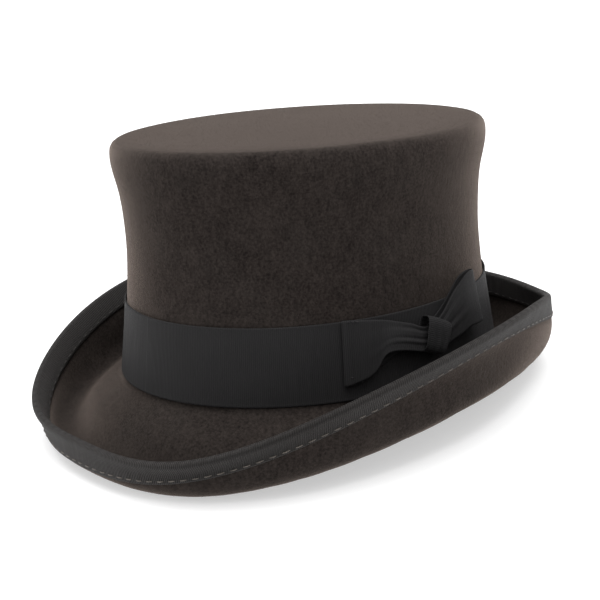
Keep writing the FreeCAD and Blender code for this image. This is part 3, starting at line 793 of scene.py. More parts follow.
FELT = Finish(
    name="brushed_wool_felt",
    effect="nap",
    place=Place.OBJECT,
    colours=((0.0055, 0.0042, 0.0038), (0.03, 0.0242, 0.0216)),
    numbers={"Speckle": 760.0, "Cloud": 75.0},
    bump=0.65,
    bump_depth=0.45 * MM,
    sheen=0.32,
    sheen_roughness=0.38,
    sheen_tint=(0.97, 0.79, 0.69),
    specular=0.05,
    dust=0.18,
    dust_colour=(0.06, 0.055, 0.05),
)
NAP = Finish(
    name="loose_wool_fibres",
    effect="nap",
    place=Place.OBJECT,
    colours=((0.008, 0.0062, 0.0055), (0.085, 0.069, 0.06)),
    numbers={"Speckle": 420.0, "Cloud": 90.0},
    bump=0.1,
    bump_depth=0.1 * MM,
    sheen=0.12,
    sheen_tint=(0.9, 0.8, 0.74),
    specular=0.05,
)
# Each grosgrain's second colour is its Valley colour: painted shade between the ribs, with random streaks.
RIBBON = Finish(
    name="charcoal_grosgrain",
    effect="ribs",
    place=Place.FLAT,
    colours=((0.0205, 0.0198, 0.0202), (0.0088, 0.0086, 0.009)),
    numbers={"Pitch": 0.95 * MM},
    bump=0.6,
    bump_depth=0.28 * MM,
    sheen=0.03,
    sheen_roughness=0.45,
    sheen_tint=(0.95, 0.92, 0.95),
    specular=0.08,
    dust=0.12,
    dust_colour=(0.06, 0.06, 0.062),
)
BINDING = Finish(
    name="binding_grosgrain",
    effect="ribs",
    place=Place.FLAT,
    colours=((0.0175, 0.0156, 0.0148), (0.0065, 0.006, 0.0058)),
    numbers={"Pitch": 1.05 * MM},
    bump=1.0,
    bump_depth=0.45 * MM,
    sheen=0.08,
    sheen_tint=(0.96, 0.9, 0.88),
    specular=0.12,
    dust=0.14,
    dust_colour=(0.06, 0.06, 0.062),
    stitch_row=13.4 * MM,
)
# The weave finishes' second colour is their Shade colour: mostly random slubs, a little painted shade where
# the weave dips.
PALE_THREAD = Finish(
    name="pale_thread",
    effect="weave",
    place=Place.OBJECT,
    colours=((0.16, 0.14, 0.122), (0.07, 0.06, 0.052)),
    numbers={"Pitch": 0.4 * MM},
    bump=0.4,
    sheen=0.1,
    specular=0.2,
)
# The pale thread painted darker: painted shade for the stitches on the brim's upper face, inside the curl.
PAINTED_SHADE_THREAD = Finish(
    name="shade_thread",
    effect="weave",
    place=Place.OBJECT,
    colours=((0.04, 0.037, 0.035), (0.02, 0.018, 0.017)),
    numbers={"Pitch": 0.4 * MM},
    bump=0.4,
    specular=0.2,
)
DARK_THREAD = Finish(
    name="dark_thread",
    effect="weave",
    place=Place.OBJECT,
    colours=((0.035, 0.033, 0.034), (0.015, 0.014, 0.015)),
    numbers={"Pitch": 0.4 * MM},
    bump=0.4,
    specular=0.2,
)
SATIN = Finish(
    name="black_satin",
    effect="weave",
    place=Place.FLAT,
    colours=((0.022, 0.02, 0.022), (0.011, 0.01, 0.011)),
    numbers={"Pitch": 0.34 * MM},
    bump=0.15,
    bump_depth=0.1 * MM,
    sheen=0.1,
    specular=0.6,
)
# Its second colour is painted shade for the grain's creases, also reached by the random mottle.
LEATHER = Finish(
    name="brown_leather",
    effect="grain",
    place=Place.OBJECT,
    colours=((0.085, 0.04, 0.022), (0.035, 0.017, 0.01)),
    numbers={"Scale": 850.0},
    bump=0.35,
    bump_depth=0.2 * MM,
    specular=0.45,
    dust=0.1,
)
TAPE = Finish(
    name="woven_tape",
    effect="weave",
    place=Place.FLAT,
    colours=((0.03, 0.027, 0.028), (0.012, 0.011, 0.012)),
    numbers={"Pitch": 0.6 * MM},
    bump=0.4,
    bump_depth=0.2 * MM,
    specular=0.25,
)
LABEL = Finish(
    name="blank_label",
    effect="weave",
    place=Place.OBJECT,
    colours=((0.55, 0.52, 0.46), (0.36, 0.33, 0.28)),
    numbers={"Pitch": 0.5 * MM},
    bump=0.3,
    specular=0.2,
)


class Wardrobe:
    """Every finish, made once and handed out by name."""

    def __init__(self) -> None:
        """Start with the shared effects."""
        self.effects = Effects()
        self.made: dict[str, bpy.types.Material] = {}

    def dress(self, piece: Piece, finish: Finish) -> None:
        """Give a piece one finish."""
        piece.data.materials.clear()
        piece.data.materials.append(self.material(finish))

    def material(self, finish: Finish) -> bpy.types.Material:
        """The material of a finish."""
        if finish.name not in self.made:
            self.made[finish.name] = finish.make(self.effects)
        return self.made[finish.name]


# ---------------------------------------------------------------- the hat's parts


@dataclass(frozen=True)
class Workshop:
    """What every sub-assembly needs: the form, the stand, the rings and the finishes."""

    form: HatForm
    stand: Stand
    wardrobe: Wardrobe
    angles: Array
    sections: tuple[Section, ...]

    @classmethod
    def opened(cls, record: dict[str, Any], rings: int = 320) -> "Workshop":
        """Lay out the form.

        Args:
            record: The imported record.
            rings: How many sections go round the hat.

        Returns:
            The workshop.
        """
        form = HatForm()
        angles = np.linspace(0, 2 * math.pi, rings, endpoint=False)
        sections = tuple(Section(form, float(angle)) for angle in angles)
        return cls(form, Stand(form, record), Wardrobe(), angles, sections)

    def settle(self, piece: Piece, finish: Finish, slot: str, nodes: Sequence[str]) -> None:
        """Dress a piece and hand it to the frame.

        Args:
            piece: The finished piece.
            finish: Its finish.
            slot: The record's material slot; not used.
            nodes: The CAD nodes it stands for.
        """
        self.wardrobe.dress(piece, finish)
        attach(piece, "root")
        if nodes:
            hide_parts(*nodes)
        log.info("%s: %d faces, %s", piece.name, len(piece.data.polygons), finish.name)


@dataclass(frozen=True)
class FeltHood:
    """The blocked felt: tip, crown and brim in one piece."""

    shop: Workshop
    tip_rings: int = 10
    wall_rows: int = 46
    brim_rows: int = 44
    unevenness: float = 0.28 * MM
    fibres_per_area: float = 230_000.0
    fibre_length: float = 0.95 * MM
    fibre_thickness: float = 0.1 * MM
    ground_clearance: float = 0.05 * MM
    seed: int = 3
    rim_degrees: tuple[float, ...] = (60, 20, -20, -60)
    tip_swell: float = 0.9 * MM
    waves: int = 14
    wave_seed: int = 7
    turns_per_metre: float = 75.0

    def build(self) -> None:
        """Make the felt, with the slight unevenness of wool shaped by steam and hand."""
        rows = [self._row(angle, section) for angle, section in zip(self.shop.angles, self.shop.sections)]
        points = np.stack(rows)
        points = points + self._uneven(points)
        placed = self.shop.stand.place(points)
        piece = grid_mesh("felt_hood", placed, None, (True, False), (True, True))
        self.shop.settle(piece, FELT, "felt", ["felt_body"])
        self._nap(placed)

    def _nap(self, placed: Array) -> None:
        """Stand the loose fibres of the wool on the faces that are left bare.

        Args:
            placed: The felt's points, by section and station.
        """
        bare = self.tip_rings + self.wall_rows + 2 * self.brim_rows + len(self.rim_degrees)
        host = grid_mesh("bare_felt", placed[:, :bare], None, (True, False), (True, False))
        values = {
            "Density": self.fibres_per_area,
            "Length": self.fibre_length,
            "Thickness": self.fibre_thickness,
            "Seed": self.seed,
            "Material": self.shop.wardrobe.material(NAP),
        }
        piece = grown("felt_nap", host, fibre_tree("standing_fibres"), values)
        for vertex in piece.data.vertices:
            vertex.co.z = max(vertex.co.z, self.ground_clearance)
        self.shop.settle(piece, NAP, "felt", [])

    def _distances(self, section: Section) -> Array:
        """Evenly spaced places down the felt, from the tip's edge to the brim's."""
        shares = np.linspace(0, 1, self.wall_rows + self.brim_rows)
        return section.length * (1 - shares)

    def _row(self, angle: float, section: Section) -> Array:
        """One section: out over the tip, down the outside, round the edge and back up the inside."""
        form = self.shop.form
        where = self._distances(section)
        points, outward, _ = section.at(where)
        under = points - outward * form.felt
        rim = section.rim(form.felt, self.rim_degrees, form.felt / 2)
        flat = np.concatenate([points, rim, under[::-1]])
        around = form.around(angle, flat[:, 0], flat[:, 1])
        return np.concatenate([self._tip(angle, points[0]), around, self._tip(angle, under[0])[::-1]])

    def _tip(self, angle: float, start: Array) -> Array:
        """Points from near the middle of the tip out to where the section starts."""
        shares = np.linspace(0.04, 1.0, self.tip_rings, endpoint=False)
        rim = self.shop.form.around(angle, start[0], start[1])
        points = rim[None, :] * np.stack([shares, shares, np.ones_like(shares)], 1)
        points[:, 2] += self.tip_swell * (1 - shares**2)
        return points

    def _uneven(self, points: Array) -> Array:
        """A slow, small wave over the felt, seeded so that it never changes."""
        seeded = np.random.default_rng(self.wave_seed)
        total = np.zeros(points.shape[:-1])
        for _ in range(self.waves):
            wave = seeded.normal(0, 1, 3) * self.turns_per_metre
            total += np.sin(points @ wave + seeded.uniform(0, 2 * math.pi))
        outward = points * np.array([1.0, 1.0, 0.0])
        outward /= np.maximum(np.linalg.norm(outward, axis=-1)[..., None], 1e-6)
        return outward * (total / math.sqrt(self.waves) * self.unevenness)[..., None]


@dataclass(frozen=True)
class BrimBinding:
    """The grosgrain folded over the brim's edge and the row of stitches that holds it."""

    shop: Workshop
    width: float = 11 * MM
    thickness: float = 0.55 * MM
    gap: float = 0.35 * MM
    inset: float = 9.4 * MM
    pitch: float = 6.3 * MM
    stitch_length: float = 4.4 * MM
    thread: float = 0.62 * MM
    seed: int = 11
    rows_on_a_face: int = 14
    rim_degrees: tuple[float, ...] = (60, 30, 0, -30, -60)

    def build(self) -> None:
        """Make the ribbon and its stitches."""
        rows = [self._row(angle, section) for angle, section in zip(self.shop.angles, self.shop.sections)]
        centre = self.shop.stand.place(np.stack(rows))
        ribbon = ribbon_shell("brim_ribbon", centre, self.thickness, True, 0.5)
        self.shop.settle(ribbon, BINDING, "ribbon", ["brim_binding"])
        self._stitches()

    def _row(self, angle: float, section: Section) -> Array:
        """The ribbon's middle at an angle: down the upper face, round the edge and up the under face."""
        form = self.shop.form
        cover = self.gap + self.thickness / 2
        points, outward, _ = section.at(np.linspace(self.width, 0.0, self.rows_on_a_face))
        rim = section.rim(form.felt, self.rim_degrees, form.felt / 2 + cover)
        over = points + outward * cover
        under = points[::-1] - outward[::-1] * (form.felt + cover)
        flat = np.concatenate([over, rim, under])
        return form.around(angle, flat[:, 0], flat[:, 1])

    def _seat(self, upper: bool) -> tuple[Array, Array]:
        """The line that the stitches lie on and the direction out of the ribbon along it."""
        form = self.shop.form
        places, outs = [], []
        for angle, section in zip(self.shop.angles, self.shop.sections):
            points, outward, _ = section.at(self.inset)
            cover = self.gap + self.thickness + self.thread * 0.25
            side = outward[0] if upper else -outward[0]
            point = points[0] + side * (cover if upper else form.felt + cover)
            places.append(form.around(angle, point[0], point[1]))
            outs.append((side[0] * math.sin(angle), -side[0] * math.cos(angle), side[1]))
        return self.shop.stand.place(np.array(places)), self.shop.stand.turn(np.array(outs))

    def _stitches(self) -> None:
        """Sew both faces of the brim with one tree of nodes; the upper face's stitches are the same thread
        with painted shade.
        """
        tree = stitch_tree("run_of_stitches")
        for name, upper, finish, nodes in (
            ("brim_stitches", False, PALE_THREAD, ["binding_stitches"]),
            # The same thread as the row below, painted darker as painted shade.
            ("brim_stitches_inside", True, PAINTED_SHADE_THREAD, []),
        ):
            places, outs = self._seat(upper)
            row = sewn_row(tree, places, outs, self, self.shop.wardrobe.material(finish))
            self.shop.settle(joined(name, [row]), finish, "thread", nodes)


RUN_POINTS = 7
THREAD_SIDES = 7
FIBRE_SIDES = 3
STITCH_SLANT = 0.05


def stitch_tree(name: str) -> Tree:
    """A tree that lays short runs of thread at even steps along a closed line.

    Args:
        name: The tree's name.

    Returns:
        The node group.
    """
    inputs = {
        "Line": Kind.SHAPE,
        "Pitch": Kind.NUMBER,
        "Length": Kind.NUMBER,
        "Thread": Kind.NUMBER,
        "Slant": Kind.NUMBER,
        "Seed": Kind.COUNT,
        "Material": Kind.CLOTH,
    }
    graph, given, sink = new_group(name, "GeometryNodeTree", inputs, {"Shape": Kind.SHAPE})
    thread, seed = given["Thread"], given["Seed"]
    curve = graph.add("GeometryNodeMeshToCurve", given["Line"]).outputs[0]
    named = {"Curve": curve, "Length": given["Pitch"]}
    spaced = graph.add("GeometryNodeCurveToPoints", named=named, mode="LENGTH").outputs
    out = graph.add("GeometryNodeInputNamedAttribute", "out", data_type="FLOAT_VECTOR").outputs[0]
    align = "FunctionNodeAlignRotationToVector"
    ahead = graph.add(align, None, None, spaced["Tangent"], axis="X").outputs[0]
    upright = graph.add(align, ahead, None, out, axis="Z", pivot_axis="X").outputs[0]
    slant = graph.random("FLOAT", graph.math("MULTIPLY", given["Slant"], -1.0), given["Slant"], seed)
    rotation = graph.turned(upright, graph.vector(0.0, 0.0, slant))
    half = graph.math("MULTIPLY", given["Length"], 0.5)
    start = graph.vector(graph.math("MULTIPLY", half, -1.0), 0.0, 0.0)
    line = graph.add("GeometryNodeCurvePrimitiveLine", start, graph.vector(half, 0.0, 0.0)).outputs[0]
    line = graph.add("GeometryNodeResampleCurve", named={"Curve": line, "Count": RUN_POINTS}).outputs[0]
    share = graph.add("GeometryNodeSplineParameter").outputs["Factor"]
    arch = graph.math("SINE", graph.math("MULTIPLY", share, math.pi))
    dip = graph.math("MULTIPLY", graph.math("SUBTRACT", graph.math("POWER", arch, 0.5), 1.0), thread)
    sunk = graph.vector(0.0, 0.0, dip)
    line = graph.add("GeometryNodeSetPosition", named={"Geometry": line, "Offset": sunk}).outputs[0]
    named = {"Resolution": THREAD_SIDES, "Radius": graph.math("MULTIPLY", thread, 0.5)}
    ring = graph.add("GeometryNodeCurvePrimitiveCircle", named=named).outputs[0]
    thick = graph.spread(graph.math("POWER", arch, 0.35), 0.0, 1.0, 0.25, 1.0)
    named = {"Curve": line, "Profile Curve": ring, "Scale": thick, "Fill Caps": True}
    tube = graph.add("GeometryNodeCurveToMesh", named=named).outputs[0]
    sized = graph.vector(graph.random("FLOAT", 0.9, 1.08, seed), 1.0, 1.0)
    real = graph.planted(spaced[0], tube, rotation, sized)
    smooth = graph.add("GeometryNodeSetShadeSmooth", real).outputs[0]
    named = {"Geometry": smooth, "Material": given["Material"]}
    graph.send(sink, {0: graph.add("GeometryNodeSetMaterial", named=named).outputs[0]})
    return graph.tree


def fibre_tree(name: str) -> Tree:
    """A tree that stands short slanting fibres all over a surface.

    Args:
        name: The tree's name.

    Returns:
        The node group.
    """
    inputs = {
        "Surface": Kind.SHAPE,
        "Density": Kind.NUMBER,
        "Length": Kind.NUMBER,
        "Thickness": Kind.NUMBER,
        "Seed": Kind.COUNT,
        "Material": Kind.CLOTH,
    }
    graph, given, sink = new_group(name, "GeometryNodeTree", inputs, {"Shape": Kind.SHAPE})
    seed = given["Seed"]
    named = {"Mesh": given["Surface"], "Density": given["Density"], "Seed": seed}
    sown = graph.add("GeometryNodeDistributePointsOnFaces", named=named).outputs
    slant = graph.random("FLOAT_VECTOR", (-1.25, -1.25, -math.pi), (1.25, 1.25, math.pi), seed)
    named = {
        "Vertices": FIBRE_SIDES,
        "Radius Top": 0.0,
        "Radius Bottom": graph.math("MULTIPLY", given["Thickness"], 0.5),
        "Depth": given["Length"],
    }
    fibre = graph.add("GeometryNodeMeshCone", named=named, fill_type="NONE").outputs["Mesh"]
    size = graph.random("FLOAT", 0.35, 1.0, seed)
    real = graph.planted(sown["Points"], fibre, graph.turned(sown["Rotation"], slant), size)
    named = {"Geometry": real, "Material": given["Material"]}
    graph.send(sink, {0: graph.add("GeometryNodeSetMaterial", named=named).outputs[0]})
    return graph.tree


def grown(
    name: str, host: Piece, tree: Tree, values: dict[str, Any]
) -> Piece:
    """The plain mesh that a tree of nodes makes on a host, which is then taken away.

    Args:
        name: The new piece's name.
        host: The object that the tree works on.
        tree: The node group.
        values: The group's inputs by name.

    Returns:
        The new piece.
    """
    modifier = host.modifiers.new("grow", "NODES")
    modifier.node_group = tree
    for item in tree.interface.items_tree:
        if item.item_type == "SOCKET" and item.in_out == "INPUT" and item.name in values:
            modifier[item.identifier] = values[item.name]
    evaluated = host.evaluated_get(bpy.context.evaluated_depsgraph_get())
    piece = put_in_scene(name, bpy.data.meshes.new_from_object(evaluated))
    host.modifiers.remove(modifier)
    bpy.data.objects.remove(host)
    return piece


def sewn_row(
    tree: Tree, places: Array, outs: Array, sizes: Any, material: bpy.types.Material
) -> Piece:
    """One closed row of stitches.

    Args:
        tree: The tree from stitch_tree.
        places: The line they lie on.
        outs: The direction out of the cloth at each point of it.
        sizes: The sub-assembly, with pitch, stitch_length, thread and seed.
        material: The thread.

    Returns:
        The row as a plain mesh.
    """
    count = len(places)
    mesh = bpy.data.meshes.new("seat")
    mesh.from_pydata(places.tolist(), [(k, (k + 1) % count) for k in range(count)], [])
    directions = mesh.attributes.new("out", "FLOAT_VECTOR", "POINT")
    directions.data.foreach_set("vector", outs.astype(np.float32).ravel())
    values = {
        "Pitch": sizes.pitch,
        "Length": sizes.stitch_length,
        "Thread": sizes.thread,
        "Slant": STITCH_SLANT,
        "Seed": sizes.seed,
        "Material": material,
    }
    return grown("row", put_in_scene("seat", mesh), tree, values)


def joined(name: str, parts: Sequence[Piece]) -> Piece:
    """Several meshes as one piece.

    Args:
        name: The new piece's name.
        parts: The meshes, which are taken away.

    Returns:
        The new piece.
    """
    mesh = bmesh.new()
    for part in parts:
        mesh.from_mesh(part.data)
    data = bpy.data.meshes.new(name)
    mesh.to_mesh(data)
    mesh.free()
    data.shade_smooth()
    for part in parts:
        bpy.data.objects.remove(part)
    return put_in_scene(name, data)


@dataclass(frozen=True)
class HatBand:
    """The grosgrain band round the foot of the crown."""

    shop: Workshop
    bottom: float = 1.0 * MM
    width: float = 38 * MM
    thickness: float = 0.6 * MM
    gap: float = 0.3 * MM
    slack: float = 0.35 * MM
    mean_lift: float = 2.9 * MM
    tilt: float = 2.0 * MM
    tilt_from: float = math.radians(50)
    belly: float = 0.25 * MM
    bead: float = 0.55

    def build(self) -> None:
        """Make the band, a little slack along its upper edge."""
        form, angles = self.shop.form, self.shop.angles
        shares = np.concatenate([[0, 0.012, 0.03], np.linspace(0.06, 0.94, 20), [0.97, 0.988, 1.0]])
        lift = self.mean_lift - self.tilt * np.cos(angles - self.tilt_from)
        height = self.bottom + shares[None, :] * self.width + lift[:, None]
        loose = self.slack * (0.4 + 0.6 * np.sin(5 * angles + 0.8) ** 2)[:, None] * shares[None, :] ** 3
        belly = self.belly * np.sin(np.pi * shares)[None, :] * np.sin(3 * angles + 2)[:, None] ** 2
        cover = self.gap + self.thickness / 2 + loose + belly
        centre = form.around(angles[:, None], cover - form.wall_inset(height), height)
        sheet = self.shop.stand.place(centre)
        piece = ribbon_shell("grosgrain_band", sheet, self.thickness, True, self.bead)
        self.shop.settle(piece, RIBBON, "ribbon", ["hat_band"])
        ring = form.around(angles, 0.0, 0.0)


@dataclass(frozen=True)
class Across:
    """One line across a wing's ribbon: its lower and upper ends over the wall.

    Each end is degrees from the front, millimetres above the break and millimetres off the felt.
    """

    low: tuple[float, float, float]
    high: tuple[float, float, float]
    swell: float = 0.0
    gather: float = 0.0


FRONT_WING = (
    Across((88.0, 21.0, 2.2), (88.0, 31.0, 2.2), 0.00, 0.12),
    Across((81.0, 20.5, 1.8), (81.0, 35.0, 1.7), 0.00, 0.09),
    Across((74.0, 15.5, 1.6), (74.0, 38.2, 1.5), 0.00, 0.00),
    Across((67.0, 10.6, 1.5), (67.0, 40.4, 1.5), 0.00, 0.00),
    Across((64.4, 9.6, 1.7), (64.8, 40.6, 1.7), 0.00, 0.00),
    Across((63.9, 9.5, 2.3), (64.4, 40.7, 2.2), 0.00, 0.00),
    Across((64.5, 9.6, 3.0), (65.0, 40.6, 2.8), 0.06, 0.00),
    Across((67.0, 10.6, 3.5), (67.6, 40.4, 3.1), 0.18, 0.00),
    Across((70.5, 12.7, 4.2), (72.0, 39.8, 3.4), 0.36, 0.03),
    Across((73.6, 18.0, 5.4), (76.0, 38.8, 3.8), 0.54, 0.06),
    Across((76.0, 23.4, 6.9), (79.5, 37.2, 4.3), 0.66, 0.12),
    Across((80.5, 23.2, 7.4), (82.8, 35.4, 4.9), 0.72, 0.21),
    Across((85.5, 20.8, 6.8), (85.0, 34.0, 5.2), 0.66, 0.27),
    Across((90.0, 19.6, 5.6), (88.0, 31.6, 5.2), 0.36, 0.27),
    Across((93.0, 21.0, 4.4), (92.0, 31.0, 4.4), 0.12, 0.15),
)
REAR_WING = (
    Across((91.0, 21.0, 2.2), (91.0, 31.0, 2.2), 0.00, 0.12),
    Across((98.0, 21.5, 2.0), (98.0, 38.0, 1.8), 0.00, 0.06),
    Across((105.0, 22.5, 2.4), (104.5, 46.5, 2.0), 0.00, 0.00),
    Across((110.5, 23.6, 3.4), (109.0, 50.6, 3.0), 0.00, 0.00),
    Across((112.6, 24.4, 5.0), (111.2, 51.4, 4.6), 0.00, 0.00),
    Across((112.3, 25.0, 7.4), (110.6, 51.8, 7.0), 0.12, 0.00),
    Across((109.0, 25.2, 8.8), (107.6, 52.2, 8.0), 0.36, 0.00),
    Across((104.5, 25.6, 9.2), (104.0, 49.8, 8.0), 0.72, 0.06),
    Across((100.5, 23.6, 8.4), (100.8, 45.6, 7.0), 0.90, 0.15),
    Across((97.5, 21.6, 7.0), (97.6, 40.0, 6.2), 0.72, 0.27),
    Across((94.0, 20.2, 5.8), (94.0, 34.2, 5.6), 0.48, 0.30),
    Across((90.0, 21.0, 4.4), (90.5, 31.5, 4.4), 0.12, 0.15),
)


@dataclass(frozen=True)
class Bow:
    """The flat bow on the wearer's left: two wings of folded ribbon and the knot round their waist.

    The tacks are degrees from the front, millimetres above the break and millimetres off the felt.
    """

    shop: Workshop
    thickness: float = 0.5 * MM
    creases: float = 3.2
    rows: int = 150
    columns: int = 34
    knot_middle: tuple[float, float, float] = (91.4, 26.0, 5.1)
    knot_half: tuple[float, float, float] = (7.6, 8.2, 3.7)
    knot_tilt: float = math.radians(-24)
    knot_corners: float = 3.2
    ribbon_width: float = 38 * MM
    knot_flat: tuple[float, float] = (12.5 * MM, 42 * MM)
    tack_thread: float = 0.5 * MM
    tacks: tuple[tuple[float, float, float], ...] = (
        (65.6, 40.4, 3.75),
        (66.8, 40.2, 3.8),
        (68.0, 40.0, 3.85),
        (65.4, 14.0, 3.7),
    )

    def build(self) -> None:
        """Make both wings, the knot and the tacks."""
        wings = []
        for name, lines in (("front", FRONT_WING), ("rear", REAR_WING)):
            wings.append(ribbon_shell(name, self._wing(lines), self.thickness, False, 0.4))
        area = sum(self._area(lines) for lines in (FRONT_WING, REAR_WING))
        wings_piece = joined("bow_wings", wings)
        self.shop.settle(wings_piece, RIBBON, "ribbon", ["bow_loops"])
        knot = self._knot()
        self.shop.settle(knot, RIBBON, "ribbon", ["bow_knot"])
        self._tacks()

    def _wing(self, lines: Sequence[Across]) -> Array:
        """The sheet of a wing, from the waist out along its back and home along its face."""
        form = self.shop.form
        table = Line([[*line.low, *line.high, line.swell, line.gather] for line in lines])
        values = table.at(np.linspace(0, 1, self.rows))
        share = np.linspace(0, 1, self.columns)[None, :]
        low, high = values[:, None, 0:3], values[:, None, 3:6]
        flat = low + (high - low) * share[..., None]
        swell = values[:, 6:7] * np.sin(np.pi * share)
        fold = np.sin(2 * np.pi * self.creases * share + 0.8) + 0.5 * np.sin(2 * np.pi * 5.3 * share + 2.0)
        cover = flat[..., 2] + swell + values[:, 7:8] * fold * np.sin(np.pi * share) ** 0.5
        return self.shop.stand.place(form.on_wall(flat[..., 0], flat[..., 1] * MM, cover * MM))

    def _area(self, lines: Sequence[Across]) -> float:
        """The area of a wing's sheet."""
        sheet = self._wing(lines)
        cells = np.cross(sheet[1:, :-1] - sheet[:-1, :-1], sheet[:-1, 1:] - sheet[:-1, :-1])
        return float(np.linalg.norm(cells, axis=2).sum())

    def _knot_frame(self) -> tuple[Array, Array, Array, Array]:
        """The knot's middle and its directions along the band, up and out."""
        form, stand = self.shop.form, self.shop.stand
        degrees, height, cover = self.knot_middle
        turns = np.array([degrees, degrees + 1, degrees])
        heights = np.array([height, height, height + 1]) * MM
        spots = form.on_wall(turns, heights, np.full(3, cover * MM))
        middle, ahead, above = stand.place(spots)
        along = (ahead - middle) / np.linalg.norm(ahead - middle)
        up = above - middle
        up -= along * (up @ along)
        up /= np.linalg.norm(up)
        out = np.cross(along, up)
        turned = along * math.cos(self.knot_tilt) + up * math.sin(self.knot_tilt)
        risen = up * math.cos(self.knot_tilt) - along * math.sin(self.knot_tilt)
        return middle, turned, risen, out

    def _knot(self) -> Piece:
        """The short ribbon wrapped round the waist, with soft creases along it."""
        middle, along, up, out = self._knot_frame()
        half_along, half_up, half_out = (value * MM for value in self.knot_half)
        turns = np.linspace(0, 2 * math.pi, 72, endpoint=False)
        share = np.linspace(-1, 1, 26)
        cosine, sine = np.cos(turns)[:, None], np.sin(turns)[:, None]
        power = self.knot_corners
        squared = 1 / (np.abs(cosine) ** power + np.abs(sine) ** power) ** (1 / power)
        pinch = 1 - 0.13 * (sine * squared < 0) * np.abs(sine * squared) + 0.06 * sine
        crease = 0.28 * MM * np.sin(9 * share[None, :] + 1.1 * sine) * (1 - share[None, :] ** 2) ** 0.5
        radial = squared * (1 + 0.05 * (1 - share[None, :] ** 2))
        place_along = share[None, :] * half_along * pinch
        place_up = sine * radial * half_up
        place_out = cosine * (radial * half_out + crease)
        centre = (
            middle
            + place_along[..., None] * along
            + (place_up + np.zeros_like(place_along))[..., None] * up
            + place_out[..., None] * out
        )
        return ribbon_shell("bow_knot_wrap", centre, self.thickness, True, 0.45)

    def _tacks(self) -> None:
        """The small tacks in the front wing's end, each a short run of thread."""
        form, stand = self.shop.form, self.shop.stand
        parts = []
        for degrees, height, cover in self.tacks:
            turns = np.array([degrees, degrees + 0.9])
            heights = np.array([height, height - 0.3]) * MM
            spots = form.on_wall(turns, heights, np.full(2, cover * MM))
            parts.append(thread_run(stand.place(spots), self.tack_thread))
        piece = joined("bow_tack_threads", parts)
        self.shop.settle(piece, DARK_THREAD, "dark_thread", ["bow_tacks"])


def thread_run(ends: Array, size: float) -> Piece:
    """A short run of thread between two points, rounded at its ends.

    Args:
        ends: The two points.
        size: The thread's thickness.

    Returns:
        The run.
    """
    along = ends[1] - ends[0]
    length = float(np.linalg.norm(along))
    along /= length
    side = np.cross(along, (0.0, 0.0, 1.0))
    side /= np.linalg.norm(side)
    up = np.cross(side, along)
    shares = np.array([0.0, 0.08, 0.25, 0.5, 0.75, 0.92, 1.0])
    girth = np.array([0.15, 0.65, 0.95, 1.0, 0.95, 0.65, 0.15]) * size / 2
    turns = np.linspace(0, 2 * math.pi, 8, endpoint=False)
    ring = np.cos(turns)[:, None, None] * side + np.sin(turns)[:, None, None] * up
    points = ends[0] + shares[None, :, None] * length * along + ring * girth[None, :, None]
    return grid_mesh("run", points, None, (True, False), (True, True))


@dataclass(frozen=True)
class CrownLining:
    """The satin inside the crown: a pleated side, a flat tip and the piping between them."""

    shop: Workshop
    bottom: float = 26 * MM
    top: float = 119.5 * MM
    thickness: float = 0.35 * MM
    cover: float = -3.1 * MM
    pleats: int = 34
    pleat_depth: float = 0.45 * MM
    pleats_from: float = 0.35
    girth_before_pleats: float = 0.6
    tip_inset: float = 6.2 * MM
    tip_drop: float = 0.75 * MM
    piping: float = 0.9 * MM
    piping_inset: float = 5.9 * MM
    piping_drop: float = 2.1 * MM
    mean_radius: float = 0.093

    def build(self) -> None:
        """Make the side, the tip and the piping."""
        self._side()
        self._tip()
        self._piping()

    def _side(self) -> None:
        """The wall's lining, drawn into small pleats towards the tip."""
        form, angles = self.shop.form, self.shop.angles
        shares = np.linspace(0, 1, 34)
        height = self.bottom + shares * (self.top - self.bottom)
        wave = np.sin(self.pleats * angles + 0.6 * np.sin(3 * angles))[:, None]
        drawn = np.clip((shares - self.pleats_from) / (1 - self.pleats_from), 0, 1)
        depth = self.pleat_depth * drawn[None, :] ** 1.5
        offset = self.cover - 0.25 * MM - depth * (1 + wave) - form.wall_inset(height)[None, :]
        centre = form.around(angles[:, None], offset, height[None, :])
        piece = ribbon_shell("satin_side", self.shop.stand.place(centre), self.thickness, True)
        self.shop.settle(piece, SATIN, "satin", ["lining_side"])

    def _tip(self) -> None:
        """The oval under the tip, with a faint pull towards its edge."""
        form, angles = self.shop.form, self.shop.angles
        shares = np.linspace(0.03, 1.0, 30)
        height = form.height - form.felt - self.tip_drop
        pull = 0.12 * MM * np.sin(48 * angles)[:, None] * shares[None, :] ** 8
        half_width, half_length = form.half_width - self.tip_inset, form.half_length - self.tip_inset
        x = half_width * shares[None, :] * np.sin(angles)[:, None]
        y = -half_length * shares[None, :] * np.cos(angles)[:, None]
        upper = np.stack([x, y, height + pull], -1)
        lower = upper - np.array([0.0, 0.0, self.thickness])
        loop = np.concatenate([upper, lower[:, ::-1]], 1)
        flat = np.concatenate([loop[..., :2], loop[:1, :, :2]], 0)
        uv = np.concatenate([flat, flat[:, :1]], 1)
        piece = grid_mesh("satin_tip", self.shop.stand.place(loop), uv, (True, False), (True, True))
        self.shop.settle(piece, SATIN, "satin", ["lining_tip"])

    def _piping(self) -> None:
        """The satin-covered cord in the seam, with the twist of its bias strip."""
        form = self.shop.form
        turns = np.linspace(0, 2 * math.pi, 14, endpoint=False)
        fine = np.linspace(0, 2 * math.pi, 960, endpoint=False)
        height = form.height - form.felt - self.piping_drop
        girth = self.piping * (1 + 0.07 * np.sin(150 * fine[:, None] + turns[None, :]))
        offset = girth * np.cos(turns)[None, :] - self.piping_inset
        points = form.around(fine[:, None], offset, height + girth * np.sin(turns)[None, :])
        along = np.concatenate([fine, [2 * math.pi]]) * self.mean_radius
        round_it = np.concatenate([turns, [2 * math.pi]]) * self.piping
        uv = np.stack(np.broadcast_arrays(along[:, None], round_it[None, :]), -1)
        piece = grid_mesh("satin_piping", self.shop.stand.place(points), uv, (True, True), (False, False))
        self.shop.settle(piece, SATIN, "satin", ["lining_cord"])


